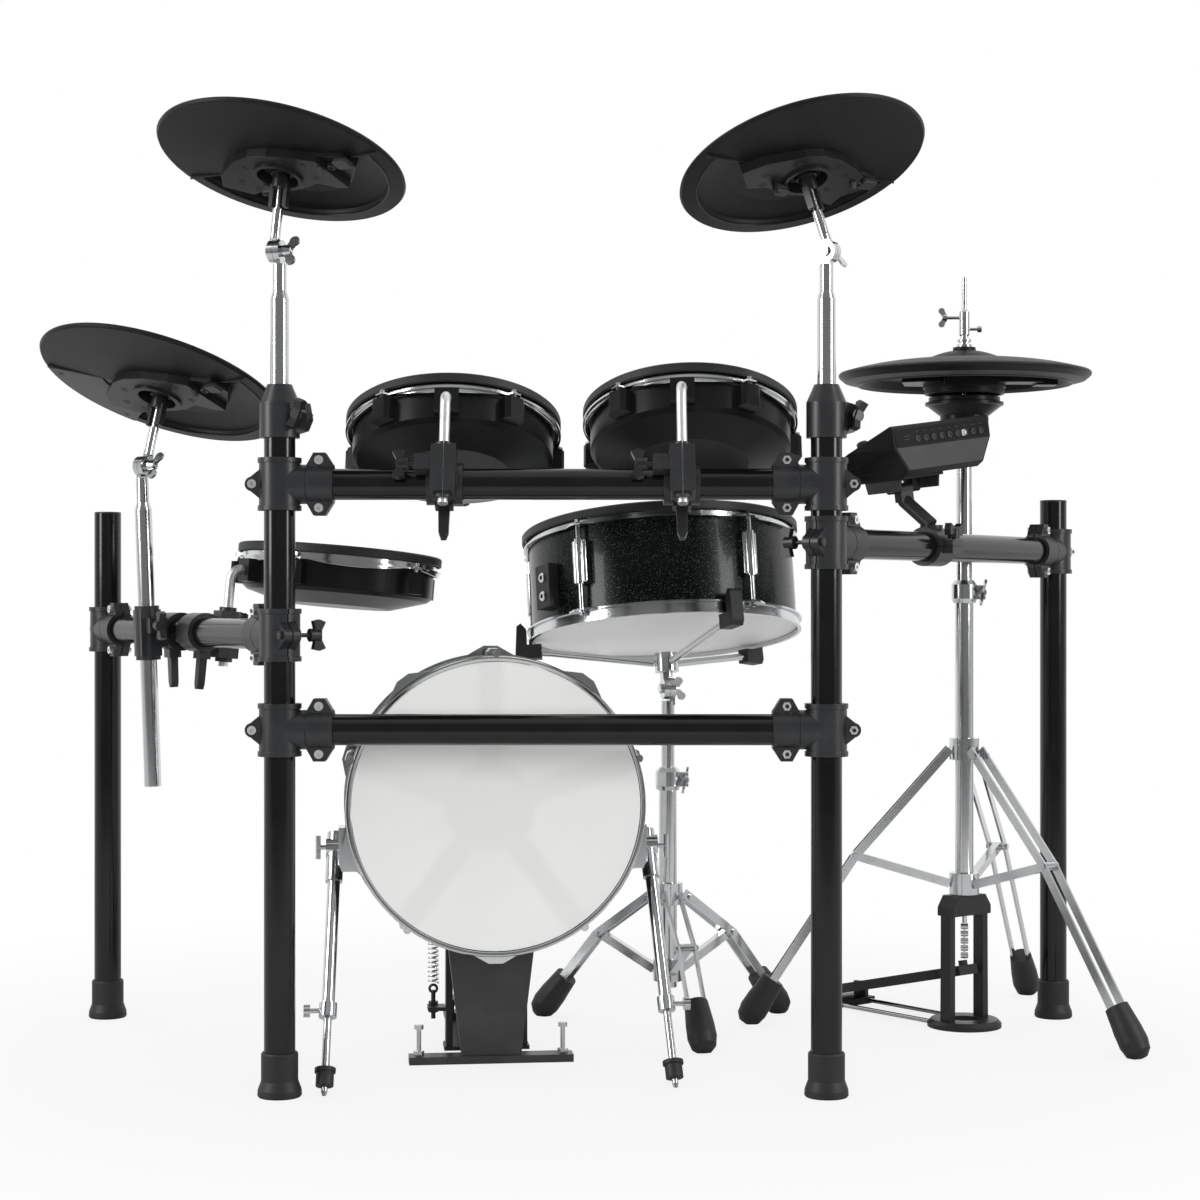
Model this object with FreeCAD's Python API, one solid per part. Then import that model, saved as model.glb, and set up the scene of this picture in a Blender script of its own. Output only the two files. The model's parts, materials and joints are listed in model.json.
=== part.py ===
import FreeCAD
import Part
import math
import os

P = FreeCAD.Vector

# Fits
FIT = 0.15
RUN = 0.1
FACE_GAP = 0.3

# Rack tubes and where the posts stand
TUBE_R = 19.0
TUBE_WALL = 1.6
LEFT_POST_X = -389.0
RIGHT_POST_X = 275.0
FRONT_POST_TOP = 845.0
LEFT_REAR_TOP = 729.0
RIGHT_REAR_TOP = 746.0
LEFT_ARM_LENGTH = 633.0
LEFT_ARM_AZIMUTH = 120.6
RIGHT_ARM_LENGTH = 664.0
RIGHT_ARM_AZIMUTH = 55.1
UPPER_BAR_Z = 743.0
LOWER_BAR_Z = 445.0
LEFT_ARM_Z = 560.0
RIGHT_ARM_Z = 672.0
BAR_START = 24.0

# Rubber post feet and end plugs
FOOT_HEIGHT = 54.0
FOOT_R = 22.5
FOOT_BASE_R = 27.0
FOOT_SOLE = 8.0
PLUG_DEPTH = 14.0
PLUG_CAP = 2.5

# Tee clamps of the rack
CLAMP_R = 25.0
CLAMP_HEIGHT = 64.0
CLAMP_RIM = 1.6
CLAMP_RIM_HEIGHT = 6.0
ARM_R = 24.0
ARM_END = 66.0
EAR_X = 49.0
EAR_Z = 29.0
EAR_R = 9.0
EAR_HALF = 11.0
EAR_FLAT = 7.0
FLANGE_RUN = 16.0
GROOVE = 1.2
BACK_EAR_OUT = 7.0
BACK_EAR_R = 9.0
SPLIT = 1.4
BOLT_R = 2.6
BOLT_HEAD_R = 5.4
BOLT_HEAD_HEIGHT = 4.5
NUT_R = 5.6

# Collars on top of the front posts
COLLAR_R = 24.5
COLLAR_LOW = FRONT_POST_TOP - 46.0
COLLAR_SHOULDER = FRONT_POST_TOP - 3.0
COLLAR_TOP = FRONT_POST_TOP + 19.0
COLLAR_NOSE_R = 15.0
COLLAR_EAR = 17.0

# Wing knobs of moulded plastic
KNOB_SHANK_R = 2.6
KNOB_HUB_R = 8.0
KNOB_HUB = 13.0
KNOB_SPAN = 34.0
KNOB_REACH = 14.0
KNOB_THICK = 9.0

# Cymbal tubes and tilters
CRASH_TUBE_R = 11.3
CRASH_TUBE_WALL = 1.5
CRASH_TUBE_LENGTH = 380.0
NECK_R = 8.4
NECK_LENGTH = 58.0
CRASH_PIVOT_Z = FRONT_POST_TOP + 181.0
TILTER_R = 13.5
TILTER_THICK = 7.6
TILTER_GAP = 0.5
TILTER_PIN_R = 3.0
TILTER_COLLAR = 3.5
TILTER_ARM_R = 6.4
TILTER_ARM = 54.0
ROD_R = 4.0
ROD_TOP = 176.0
STOPPER_R = 10.5
STOPPER_LENGTH = 18.0
PRONG_LENGTH = 24.0
PRONG_WIDTH = 9.0
PRONG_THICK = 5.0
FELT_R = 14.0
FELT_HEIGHT = 7.5
FELT_SEAT_R = 5.5
FELT_DOME = 2.6
FELT_GAP = 1.4

# Cymbal pads
CRASH_R = 155.0
RIDE_R = 168.0
CYMBAL_RISE = 130.0
CYMBAL_HOLE_R = 10.0
BELL_TOP = 14.0
BELL_R = 44.0
SEAT_DEPTH = 22.0
HOUSING_DEPTH = 34.0
RECESS_R = 26.0
LEFT_CRASH_LEAN = P(0.07, 0.21, 0.975)
LEFT_CRASH_HANG = P(0.18, 0.27, 0.946)
RIGHT_CRASH_LEAN = P(-0.27, 0.207, 0.94)
RIGHT_CRASH_HANG = P(-0.23, 0.32, 0.92)
RIDE_LEAN = P(0.146, 0.25, 0.957)
RIDE_HANG = P(0.237, 0.314, 0.919)

# Ride boom on the left side bar
RIDE_CLAMP_AT = 0.56
RIDE_OFFSET = 40.0
RIDE_TUBE_LEAN = 2.1
RIDE_PIVOT_UP = 222.0
RIDE_TUBE_LENGTH = 427.0

# Rod clamps that turn on the bars
ROD_CLAMP_R = 25.5
ROD_CLAMP_WIDTH = 44.0
L_ROD_R = 6.35
L_ROD_OFFSET = 36.0
L_ROD_BEND = 16.0
L_ROD_BELOW = 42.0
ROD_BLOCK_WIDTH = 30.0
ROD_BLOCK_HEIGHT = 62.0
ROD_BLOCK_DEPTH = 28.0
LEVER_LENGTH = 40.0
LEVER_AT = 0.15

# Tom pads
TOM_R = 128.0
TOM_WALL = 5.0
TOM_HALF = 17.0
TOM_PAN_DEPTH = 19.0
TOM_PAN_R = 74.0
TOM_REACH = 160.0
TOM_LUGS = 5
TOM_LUG_WIDTH = 28.0
TOM_LUG_OUT = 18.0
LUG_SCREW_R = 3.2
HOOP_GAP = 1.5
HOOP_WALL = 2.4
TOM_HOOP_FLANGE = 6.0
SNARE_HOOP_FLANGE = 4.0
KICK_HOOP_FLANGE = 5.0
HOOP_HEIGHT = 17.0
RIM_THICK = 3.2
RIM_COVER = 8.0
RIM_INNER = 4.5
SCREW_CIRCLE_OUT = 11.0
HEAD_THICK = 1.2
LEFT_TOM_X = -188.0
LEFT_TOM_TILT = 22.0
LEFT_TOM_RISE = 107.0
LEFT_TOM_SWING = 0.0
RIGHT_TOM_X = 99.0
RIGHT_TOM_TILT = 22.0
RIGHT_TOM_RISE = 121.0
RIGHT_TOM_SWING = -6.0
FLOOR_TOM_AT = 0.42
FLOOR_TOM_TILT = -5.3
FLOOR_TOM_RISE = 88.0
FLOOR_TOM_SWING = 4.0

# Stand legs
LEG_BAR_WIDTH = 11.5
LEG_BAR_THICK = 3.2
LEG_BAR_GAP = 23.0
LEG_BOW = 16.0
LEG_KNEE = 0.43
STRUT_THICK = 11.0
STRUT_WIDTH = 12.0
BOOT_R = 20.0
BOOT_LENGTH = 75.0
COLLAR_WALL = 8.0
COLLAR_LENGTH = 30.0

# Hi-hat
HIHAT_X = 515.0
HIHAT_Y = 471.0
HIHAT_LEG_REACH = 300.0
HIHAT_LEG_AZIMUTHS = (-51.0, 176.0, 63.0)
HIHAT_LEG_TOP = 392.0
HIHAT_BRACE_Z = 202.0
HIHAT_TUBE_R = 13.0
HIHAT_TUBE_WALL = 1.6
HIHAT_TUBE_TOP = 598.0
HIHAT_UPPER_R = 11.0
HIHAT_UPPER_TOP = 846.0
HIHAT_YOKE_TOP = 186.0
HIHAT_YOKE_HALF = 34.0
HIHAT_BASE_R = 52.0
HIHAT_PEDAL_AZIMUTH = 129.4
HIHAT_HEEL = 238.0
HIHAT_HEEL_Z = 22.0
HIHAT_TOE_Z = 78.0
HIHAT_ROD_R = 3.5
HIHAT_ROD_LOW = 146.0
HIHAT_ROD_TOP = 1058.0
HIHAT_PAD_R = 177.0
HIHAT_PAD_Z = 923.0
HIHAT_TRAVEL = 10.0
HIHAT_HOUSING = 22.0
SENSOR_STOP = 3.0
SKIRT_DROP = 9.0
SKIRT_R = 56.0
SKIRT_BORE = 51.5

# Snare and its stand
SNARE_X = 96.0
SNARE_Y = 470.0
SNARE_LEAN = P(-0.05, 0.19, 0.981)
SNARE_RISE = 148.0
SNARE_R = 187.0
SNARE_WALL = 6.0
SNARE_HALF = 67.0
SNARE_LUGS = 5
SNARE_LUG_R = 6.0
SNARE_LUG_SIDE_R = 4.4
SNARE_LUG_WIDTH = 23.0
SNARE_LUG_HALF = 31.0
SNARE_EAR_OUT = 9.0
SNARE_LUG_UP = 8.0
SNARE_JACK_AZIMUTH = -147.0
SNARE_JACK_DROP = 14.0
SNARE_LEG_REACH = 196.0
SNARE_LEG_AZIMUTHS = (-78.0, 34.0, 154.0)
SNARE_LEG_TOP = 188.0
SNARE_BRACE_Z = 80.0
SNARE_TUBE_R = 12.7
SNARE_TUBE_TOP = 334.0
SNARE_UPPER_R = 9.5
SNARE_PIVOT_Z = 477.0
BASKET_AZIMUTHS = (178.0, 296.0, 48.0)
BASKET_ARM_R = 5.0
GRIP_R = 9.0

# Kick drum
KICK_X = -138.0
KICK_Y = 178.0
KICK_Z = 342.0
KICK_YAW = 6.5
KICK_R = 182.0
KICK_WALL = 7.0
KICK_HALF = 66.0
KICK_LUGS = 5
KICK_LUG_OUT = 16.0
KICK_HOOP_WIDTH = 22.0
KICK_EAR_OUT = 9.6
STAR_HUB_R = 54.0
STAR_ARM_WIDTH = 30.0
STAR_Y = -38.0
SPUR_OUT = 14.0
SPUR_TUBE_R = 8.0
SPUR_ROD_R = 5.0
SPUR_REACH = 158.0
SPUR_SPREAD = 14.0
SPUR_DROP = 58.0

# Kick riser and pedal
RISER_WIDTH = 78.0
RISER_TOP_WIDTH = 124.0
RISER_FOOT_WIDTH = 214.0
RISER_FRONT = 22.0
RISER_FOOT_THICK = 10.0
RISER_DEPTH = 20.0
SHEET = 3.0
PEDAL_FRONT = 88.0
PEDAL_LENGTH = 318.0
PEDAL_WIDTH = 90.0
PEDAL_PLATE = 5.0
PEDAL_POST_Y = 136.0
PEDAL_POST_HALF = 50.0
PEDAL_POST_THICK = 9.0
AXLE_Z = 152.0
AXLE_R = 5.0
SPROCKET_R = 34.0
CHAIN_LINE = 39.0
BEATER_LENGTH = 182.0
BEATER_REST = 38.0
BEATER_R = 22.0
BEATER_DEPTH = 42.0
BOARD_LENGTH = 246.0
BOARD_THICK = 7.0
BOARD_WIDTH = 76.0
HEEL_Z = 24.0
TOE_Z = 74.0
SPRING_R = 6.5
SPRING_WIRE = 1.3
SPRING_TURNS = 9
SPRING_LOW = 84.0
SPRING_ARM = 24.0
SPRING_TOP_DROP = 12.0
SPRING_X = -70.0

# Sound module on the right side bar
MODULE_AT = 0.42
MODULE_X = 416.6
MODULE_Y = 264.7
MODULE_Z = 802.0
MODULE_WIDTH = 172.0
MODULE_DEPTH = 113.0
MODULE_REAR = 66.0
MODULE_FRONT = 33.0
MODULE_STRIP = 28.0
MODULE_TAPER = 22.0
MODULE_FACING = 125.3
MODULE_PITCH = 2.3
MODULE_ROLL = 7.7
MODULE_HINGE_X = -28.0
MODULE_PLATE = 4.0
MODULE_HINGE_DROP = 12.0
MODULE_POST_R = 9.5
TOWER_HEIGHT = 3.0
DIAL_R = 17.0
DIAL_HEIGHT = 13.0
VOLUME_R = 8.0
BUTTON_WIDTH = 16.0
BUTTON_HEIGHT = 4.0
BUTTON_TRAVEL = 1.5


def unit(vector):
    """Return the vector at length one."""
    return P(vector).normalize()


def turned(vector, axis, degrees):
    """Return the vector turned about an axis."""
    return FreeCAD.Rotation(axis, degrees).multVec(vector)


def compass(degrees):
    """Return the level direction at an azimuth measured from +X."""
    return P(math.cos(math.radians(degrees)), math.sin(math.radians(degrees)), 0)


def frame_at(origin, up, side):
    """Return a placement with z along up and x as near to side as it can be."""
    z = unit(up)
    y = unit(z.cross(side))
    x = y.cross(z)
    return FreeCAD.Placement(origin, FreeCAD.Rotation(x, y, z, "ZXY"))


def put(shape, place):
    """Return a copy of the shape in a placement."""
    moved = shape.copy()
    moved.Placement = place.multiply(moved.Placement)
    return moved


def shifted(shape, x, y, z):
    """Return a copy of the shape moved by a distance."""
    return put(shape, FreeCAD.Placement(P(x, y, z), FreeCAD.Rotation()))


def rod(start, end, radius):
    """Return a round bar between two points."""
    axis = end.sub(start)
    return Part.makeCylinder(radius, axis.Length, start, axis)


def pipe(start, end, outer, inner):
    """Return a round tube between two points."""
    return rod(start, end, outer).cut(rod(start, end, inner))


def block(centre, size):
    """Return a box about its centre."""
    corner = centre.sub(P(size[0] / 2, size[1] / 2, size[2] / 2))
    return Part.makeBox(size[0], size[1], size[2], corner)


def spun(points, degrees=360.0):
    """Return the solid swept about z by a closed outline of radius and height pairs."""
    ring = [P(r, 0, z) for r, z in points]
    face = Part.Face(Part.makePolygon(ring + ring[:1]))
    return face.revolve(P(0, 0, 0), P(0, 0, 1), degrees)


def bowed(points, arcs):
    """Return the solid swept about z by an outline of straight stretches that ends in arcs.

    Each arc goes on from the last point through one radius and height pair to the next.
    """
    ring = [P(r, 0, z) for r, z in points]
    edges = [Part.makeLine(a, b) for a, b in zip(ring, ring[1:])]
    last = ring[-1]
    for through, end in arcs:
        edges.append(Part.Arc(last, P(through[0], 0, through[1]), P(end[0], 0, end[1])).toShape())
        last = P(end[0], 0, end[1])
    edges.append(Part.makeLine(last, ring[0]))
    return Part.Face(Part.Wire(edges)).revolve(P(0, 0, 0), P(0, 0, 1), 360.0)


def prism(points, low, high):
    """Return the solid between two heights over a closed outline of x and y pairs."""
    ring = [P(x, y, low) for x, y in points]
    face = Part.Face(Part.makePolygon(ring + ring[:1]))
    return face.extrude(P(0, 0, high - low))


def wall(points, near, far):
    """Return the solid between two y values over a closed outline of x and z pairs."""
    ring = [P(x, near, z) for x, z in points]
    face = Part.Face(Part.makePolygon(ring + ring[:1]))
    return face.extrude(P(0, far - near, 0))


def joined(shapes):
    """Return the shapes fused into one solid."""
    body = shapes[0].fuse(shapes[1:]).removeSplitter()
    return body.Solids[0]


def carved(shape, tools):
    """Return the shape less the tools, as one solid."""
    return shape.cut(tools).Solids[0]


def hexagon(radius, low, high):
    """Return a six-sided bar along z."""
    points = [(radius * compass(60 * k).x, radius * compass(60 * k).y) for k in range(6)]
    return prism(points, low, high)


def flat_bar(start, end, width, thick, flat):
    """Return a rectangular bar between two points, its thin side along flat."""
    axis = end.sub(start)
    place = frame_at(start, axis, flat)
    return put(Part.makeBox(thick, width, axis.Length, P(-thick / 2, -width / 2, 0)), place)


# Fasteners

def cross_bolt(grip):
    """Return a socket bolt and nut along y across a grip."""
    head = rod(P(0, -grip / 2 - BOLT_HEAD_HEIGHT, 0), P(0, -grip / 2, 0), BOLT_HEAD_R)
    nut = put(hexagon(NUT_R, 0, BOLT_HEAD_HEIGHT), frame_at(P(0, grip / 2, 0), P(0, 1, 0), P(1, 0, 0)))
    shank = rod(P(0, -grip / 2, 0), P(0, grip / 2 + BOLT_HEAD_HEIGHT + 2, 0), BOLT_R)
    socket = put(hexagon(BOLT_R, 0, 2.5), frame_at(P(0, -grip / 2 - BOLT_HEAD_HEIGHT, 0), P(0, 1, 0),
                                                   P(1, 0, 0)))
    return carved(joined([head, nut, shank]), [socket])


def wing_knob(shank):
    """Return a moulded wing knob along z with its shank behind it."""
    half = KNOB_SPAN / 2
    stem = rod(P(0, 0, -shank), P(0, 0, 2), KNOB_SHANK_R)
    hub = rod(P(0, 0, 0), P(0, 0, KNOB_HUB), KNOB_HUB_R)
    bow = [(-half, 4), (-5, 7), (5, 7), (half, 4), (half + 2, 12), (half - 1, 20), (6, 15), (-6, 15)]
    wings = wall(bow + [(-half + 1, 20), (-half - 2, 12)], -KNOB_THICK / 2, KNOB_THICK / 2)
    return joined([stem, hub, wings])


def wing_nut(bore, hub, span):
    """Return a cast wing nut along z, or a wing bolt head where the bore is none."""
    body = Part.makeCone(hub, hub * 0.75, hub * 1.1)
    lobes = []
    for side in (-1, 1):
        outer = P(side * span * 0.36, 0, hub * 1.3)
        lobes.append(rod(outer.add(P(0, -1.6, 0)), outer.add(P(0, 1.6, 0)), span * 0.17))
        web = [(0, 1), (side * hub, 1), (outer.x + side * span * 0.1, outer.z - span * 0.1)]
        lobes.append(wall(web + [(outer.x - side * span * 0.1, outer.z + span * 0.1), (0, hub)], -1.6, 1.6))
    nut = joined([body] + lobes)
    if bore:
        nut = carved(nut, [rod(P(0, 0, -1), P(0, 0, span), bore)])
    return nut


# Rack

def left_arm():
    """Return the start and the direction of the left side bar."""
    return P(LEFT_POST_X, 0, LEFT_ARM_Z), compass(LEFT_ARM_AZIMUTH)


def right_arm():
    """Return the start and the direction of the right side bar."""
    return P(RIGHT_POST_X, 0, RIGHT_ARM_Z), compass(RIGHT_ARM_AZIMUTH)


def post_spots():
    """Return the foot point and the top height of each post."""
    left_start, left_way = left_arm()
    right_start, right_way = right_arm()
    left_end = left_start.add(left_way * LEFT_ARM_LENGTH)
    right_end = right_start.add(right_way * RIGHT_ARM_LENGTH)
    return {
        "front_left": (P(LEFT_POST_X, 0, 0), FRONT_POST_TOP),
        "front_right": (P(RIGHT_POST_X, 0, 0), FRONT_POST_TOP),
        "rear_left": (P(left_end.x, left_end.y, 0), LEFT_REAR_TOP),
        "rear_right": (P(right_end.x, right_end.y, 0), RIGHT_REAR_TOP),
    }


def clamp_frames():
    """Return the placement of each tee clamp, x along its bar and z up its post."""
    spots = post_spots()
    up = P(0, 0, 1)
    right = P(1, 0, 0)
    left_way = left_arm()[1]
    right_way = right_arm()[1]
    frames = []
    for height in (UPPER_BAR_Z, LOWER_BAR_Z):
        frames.append(frame_at(P(LEFT_POST_X, 0, height), up, right))
        frames.append(frame_at(P(RIGHT_POST_X, 0, height), up, right * -1))
    frames.append(frame_at(P(LEFT_POST_X, 0, LEFT_ARM_Z), up, left_way))
    frames.append(frame_at(P(RIGHT_POST_X, 0, RIGHT_ARM_Z), up, right_way))
    rear_left = spots["rear_left"][0]
    rear_right = spots["rear_right"][0]
    frames.append(frame_at(rear_left.add(up * LEFT_ARM_Z), up, left_way * -1))
    frames.append(frame_at(rear_right.add(up * RIGHT_ARM_Z), up, right_way * -1))
    return frames


def tee_clamp():
    """Return one tee clamp, x along the bar and z up the post."""
    half = CLAMP_HEIGHT / 2
    sleeve = rod(P(0, 0, -half), P(0, 0, half), CLAMP_R)
    low_rim = rod(P(0, 0, -half), P(0, 0, -half + CLAMP_RIM_HEIGHT), CLAMP_R + CLAMP_RIM)
    high_rim = rod(P(0, 0, half - CLAMP_RIM_HEIGHT), P(0, 0, half), CLAMP_R + CLAMP_RIM)
    arm = rod(P(0, 0, 0), P(ARM_END, 0, 0), ARM_R)
    near = EAR_X - FLANGE_RUN
    top = EAR_Z + EAR_R
    shoulder = ARM_R - 2
    flange = [(near, shoulder), (EAR_X - EAR_FLAT, top), (EAR_X + EAR_FLAT, top), (ARM_END, shoulder)]
    flange += [(x, -z) for x, z in reversed(flange)]
    ears = wall(flange, -EAR_HALF, EAR_HALF)
    back = -CLAMP_R - BACK_EAR_OUT
    back_lobe = rod(P(back, -EAR_HALF, 0), P(back, EAR_HALF, 0), BACK_EAR_R)
    back_web = wall([(-BACK_EAR_R, half - 3), (back - 3, BACK_EAR_R - 1), (back - 3, 1 - BACK_EAR_R),
                     (-BACK_EAR_R, 3 - half)], -EAR_HALF, EAR_HALF)
    body = joined([sleeve, low_rim, high_rim, arm, ears, back_lobe, back_web])
    tools = [rod(P(0, 0, -half - 1), P(0, 0, half + 1), TUBE_R + FIT)]
    tools.append(rod(P(BAR_START - 1, 0, 0), P(ARM_END + 1, 0, 0), TUBE_R + FIT))
    groove = rod(P(near, 0, 0), P(near + GROOVE, 0, 0), ARM_R + 1)
    tools.append(groove.cut(rod(P(near - 1, 0, 0), P(near + GROOVE + 1, 0, 0), ARM_R - GROOVE)))
    tools.append(block(P(ARM_END, 0, 0), (2 * (ARM_END - CLAMP_R - 5), SPLIT, 3 * EAR_Z)))
    tools.append(block(P(back - 4, 0, 0), (2 * (-back - TUBE_R + 4), SPLIT, CLAMP_HEIGHT + 2)))
    for x, z in ((EAR_X, EAR_Z), (EAR_X, -EAR_Z), (back, 0)):
        tools.append(rod(P(x, -EAR_HALF - 1, z), P(x, EAR_HALF + 1, z), BOLT_R + FIT))
    return carved(body, tools)


def tee_bolts():
    """Return the two ear bolts of one tee clamp, and its back bolt."""
    bolt = cross_bolt(EAR_HALF * 2)
    back = -CLAMP_R - BACK_EAR_OUT
    return [shifted(bolt, EAR_X, 0, s * EAR_Z) for s in (-1, 1)], shifted(bolt, back, 0, 0)


def tee_knob():
    """Return the wing knob that closes a tee clamp's back ear from +y, with a nut behind it."""
    back = -CLAMP_R - BACK_EAR_OUT
    grip = EAR_HALF * 2
    knob = put(wing_knob(KNOB_REACH + grip), frame_at(P(back, EAR_HALF + KNOB_REACH, 0), P(0, 1, 0),
                                                      P(0, 0, 1)))
    nut = put(hexagon(NUT_R, 0, BOLT_HEAD_HEIGHT), frame_at(P(back, -EAR_HALF, 0), P(0, -1, 0), P(1, 0, 0)))
    return joined([knob, nut])


def post_foot():
    """Return one rubber post foot."""
    bore = TUBE_R + FIT
    return spun([(0, 0), (FOOT_BASE_R - 1.5, 0), (FOOT_BASE_R, 2), (FOOT_BASE_R - 0.5, 9), (FOOT_R, 20),
                 (FOOT_R, FOOT_HEIGHT - 2), (FOOT_R - 1.5, FOOT_HEIGHT), (bore, FOOT_HEIGHT),
                 (bore, FOOT_SOLE), (0, FOOT_SOLE)])


def post_plug():
    """Return one end plug, its cap face at z zero."""
    bore = TUBE_R - TUBE_WALL - FIT
    return spun([(0, -PLUG_DEPTH), (bore, -PLUG_DEPTH), (bore, 0), (TUBE_R, 0), (TUBE_R, PLUG_CAP - 1),
                 (TUBE_R - 1, PLUG_CAP), (0, PLUG_CAP)])


def post_collar():
    """Return one split collar that holds a cymbal tube on a post, x towards its ear."""
    bore = TUBE_R + FIT
    nose = CRASH_TUBE_R + RUN
    sleeve = spun([(bore, COLLAR_LOW), (COLLAR_R, COLLAR_LOW), (COLLAR_R, COLLAR_SHOULDER),
                   (COLLAR_NOSE_R, COLLAR_TOP), (nose, COLLAR_TOP), (nose, FRONT_POST_TOP),
                   (bore, FRONT_POST_TOP)])
    middle = (COLLAR_LOW + COLLAR_SHOULDER) / 2
    ear_end = COLLAR_R + COLLAR_EAR
    ear = wall([(bore + 1, COLLAR_LOW + 4), (ear_end - 6, COLLAR_LOW + 8), (ear_end, middle),
                (ear_end - 4, middle + 20),
                (bore + 1, middle + 24)], -8, 8)
    slot = block(P(ear_end, 0, middle), (2 * (ear_end - bore + 0.5), SPLIT, 2 * COLLAR_SHOULDER))
    hole = rod(P(COLLAR_R + 8, -20, middle + 6), P(COLLAR_R + 8, 20, middle + 6), KNOB_SHANK_R + FIT)
    core = spun([(0, COLLAR_LOW), (bore, COLLAR_LOW), (bore, FRONT_POST_TOP), (nose, FRONT_POST_TOP),
                 (nose, COLLAR_TOP), (0, COLLAR_TOP)])
    body = carved(joined([sleeve, ear]), [core])
    low_slot = slot.common(block(P(ear_end, 0, middle), (200, 10, 2 * (FRONT_POST_TOP - middle))))
    return carved(body, [low_slot, hole])


def collar_knob():
    """Return the wing knob through a collar ear, with a nut behind it."""
    middle = (COLLAR_LOW + COLLAR_SHOULDER) / 2
    place = frame_at(P(COLLAR_R + 8, -8, middle + 6), P(0, -1, 0), P(0.4, 0, 1))
    nut = put(hexagon(NUT_R + 1, 0, BOLT_HEAD_HEIGHT), frame_at(P(COLLAR_R + 8, 8, middle + 6),
                                                                P(0, 1, 0), P(1, 0, 0)))
    return joined([put(wing_knob(20.0), place), nut])


def rack():
    """Return the nodes of the rack frame."""
    spots = post_spots()
    posts = []
    feet = []
    collars = []
    for name, (spot, top) in spots.items():
        cap = PLUG_CAP if name.startswith("rear") else 0.0
        posts.append(pipe(spot.add(P(0, 0, FOOT_SOLE)), spot.add(P(0, 0, top - cap)), TUBE_R,
                          TUBE_R - TUBE_WALL))
        feet.append(shifted(post_foot(), spot.x, spot.y, 0))
        if cap:
            collars.append(shifted(post_plug(), spot.x, spot.y, top - cap))
    for x, side in ((LEFT_POST_X, P(1, -0.35, 0)), (RIGHT_POST_X, P(1, 0.5, 0))):
        place = frame_at(P(x, 0, 0), P(0, 0, 1), side)
        collars.append(put(post_collar(), place))
        collars.append(put(collar_knob(), place))
    bars = []
    for height in (UPPER_BAR_Z, LOWER_BAR_Z):
        start = P(LEFT_POST_X + BAR_START, 0, height)
        bars.append(pipe(start, P(RIGHT_POST_X - BAR_START, 0, height), TUBE_R, TUBE_R - TUBE_WALL))
    for (start, way), length in ((left_arm(), LEFT_ARM_LENGTH), (right_arm(), RIGHT_ARM_LENGTH)):
        end = start.add(way * (length - BAR_START))
        bars.append(pipe(start.add(way * BAR_START), end, TUBE_R, TUBE_R - TUBE_WALL))
    clamp = tee_clamp()
    frames = clamp_frames()
    clamps = [put(clamp, place) for place in frames]
    front = 2 * len((UPPER_BAR_Z, LOWER_BAR_Z))
    bolts = []
    for index, place in enumerate(frames):
        ears, back = tee_bolts()
        bolts.extend([put(bolt, place) for bolt in ears])
        if index not in (front, front + 1):
            bolts.append(put(back, place))
    flip = FreeCAD.Placement(P(0, 0, 0), FreeCAD.Rotation(P(1, 0, 0), 180))
    collars.append(put(tee_knob(), frames[front].multiply(flip)))
    collars.append(put(tee_knob(), frames[front + 1]))
    clamps.extend(ride_clamp())
    return {
        "rack_posts": posts,
        "rack_bars": bars,
        "tee_clamps": clamps,
        "clamp_bolts": bolts,
        "rubber_feet": feet,
        "post_collars": collars,
    }


# Clamps that turn on a bar and hold a rod

def bar_clamp(hole_r, offset, side):
    """Return a rod clamp with its bar along x and its rod along z at y offset."""
    half = ROD_CLAMP_WIDTH / 2
    ring = rod(P(-half, 0, 0), P(half, 0, 0), ROD_CLAMP_R)
    body = block(P(0, offset, 0), (ROD_BLOCK_WIDTH, ROD_BLOCK_DEPTH, ROD_BLOCK_HEIGHT))
    cheek = block(P(0, offset / 2, 0), (ROD_BLOCK_WIDTH, abs(offset), ROD_CLAMP_R * 1.5))
    collar = rod(P(0, offset, -ROD_BLOCK_HEIGHT / 2 - 5), P(0, offset, ROD_BLOCK_HEIGHT / 2 + 5),
                 hole_r + 5)
    lug = block(P(side * (half + 2), offset, 10), (22, 18, 20))
    lip = block(P(0, offset * LEVER_AT, -ROD_CLAMP_R - 3), (22, 16, 12))
    tools = [rod(P(-half - 1, 0, 0), P(half + 1, 0, 0), TUBE_R + RUN)]
    tools.append(rod(P(0, offset, -100), P(0, offset, 100), hole_r + RUN))
    edge = offset + math.copysign(ROD_BLOCK_DEPTH / 2 + 3, offset)
    tools.append(block(P(0, (offset + edge) / 2, 0), (SPLIT, abs(edge - offset), 200)))
    return carved(joined([ring, body, cheek, collar, lug, lip]), tools)


def clamp_handles(offset, side):
    """Return the wing knob and the hanging lever of a rod clamp."""
    half = ROD_CLAMP_WIDTH / 2
    knob = put(wing_knob(7.0), frame_at(P(side * (half + 20), offset, 10), P(side, 0, 0), P(0, 0, 1)))
    top = -ROD_CLAMP_R - 9
    y = offset * LEVER_AT
    outline = [(-7, top), (7, top), (6, top - LEVER_LENGTH + 8), (3, top - LEVER_LENGTH),
               (-3, top - LEVER_LENGTH),
               (-6, top - LEVER_LENGTH + 8)]
    lever = wall(outline, y - 5, y + 5)
    return [knob, lever]


def ride_frame():
    """Return the placement of the ride clamp, x along its bar and z along its tube."""
    start, way = left_arm()
    spot = start.add(way * (RIDE_CLAMP_AT * LEFT_ARM_LENGTH))
    up = turned(P(0, 0, 1), way, -RIDE_TUBE_LEAN)
    return frame_at(spot, up, way)


def ride_clamp():
    """Return the solids of the ride boom clamp."""
    body = bar_clamp(CRASH_TUBE_R, RIDE_OFFSET, -1)
    return [put(shape, ride_frame()) for shape in [body] + clamp_handles(RIDE_OFFSET, -1)]


# Cymbals

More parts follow.
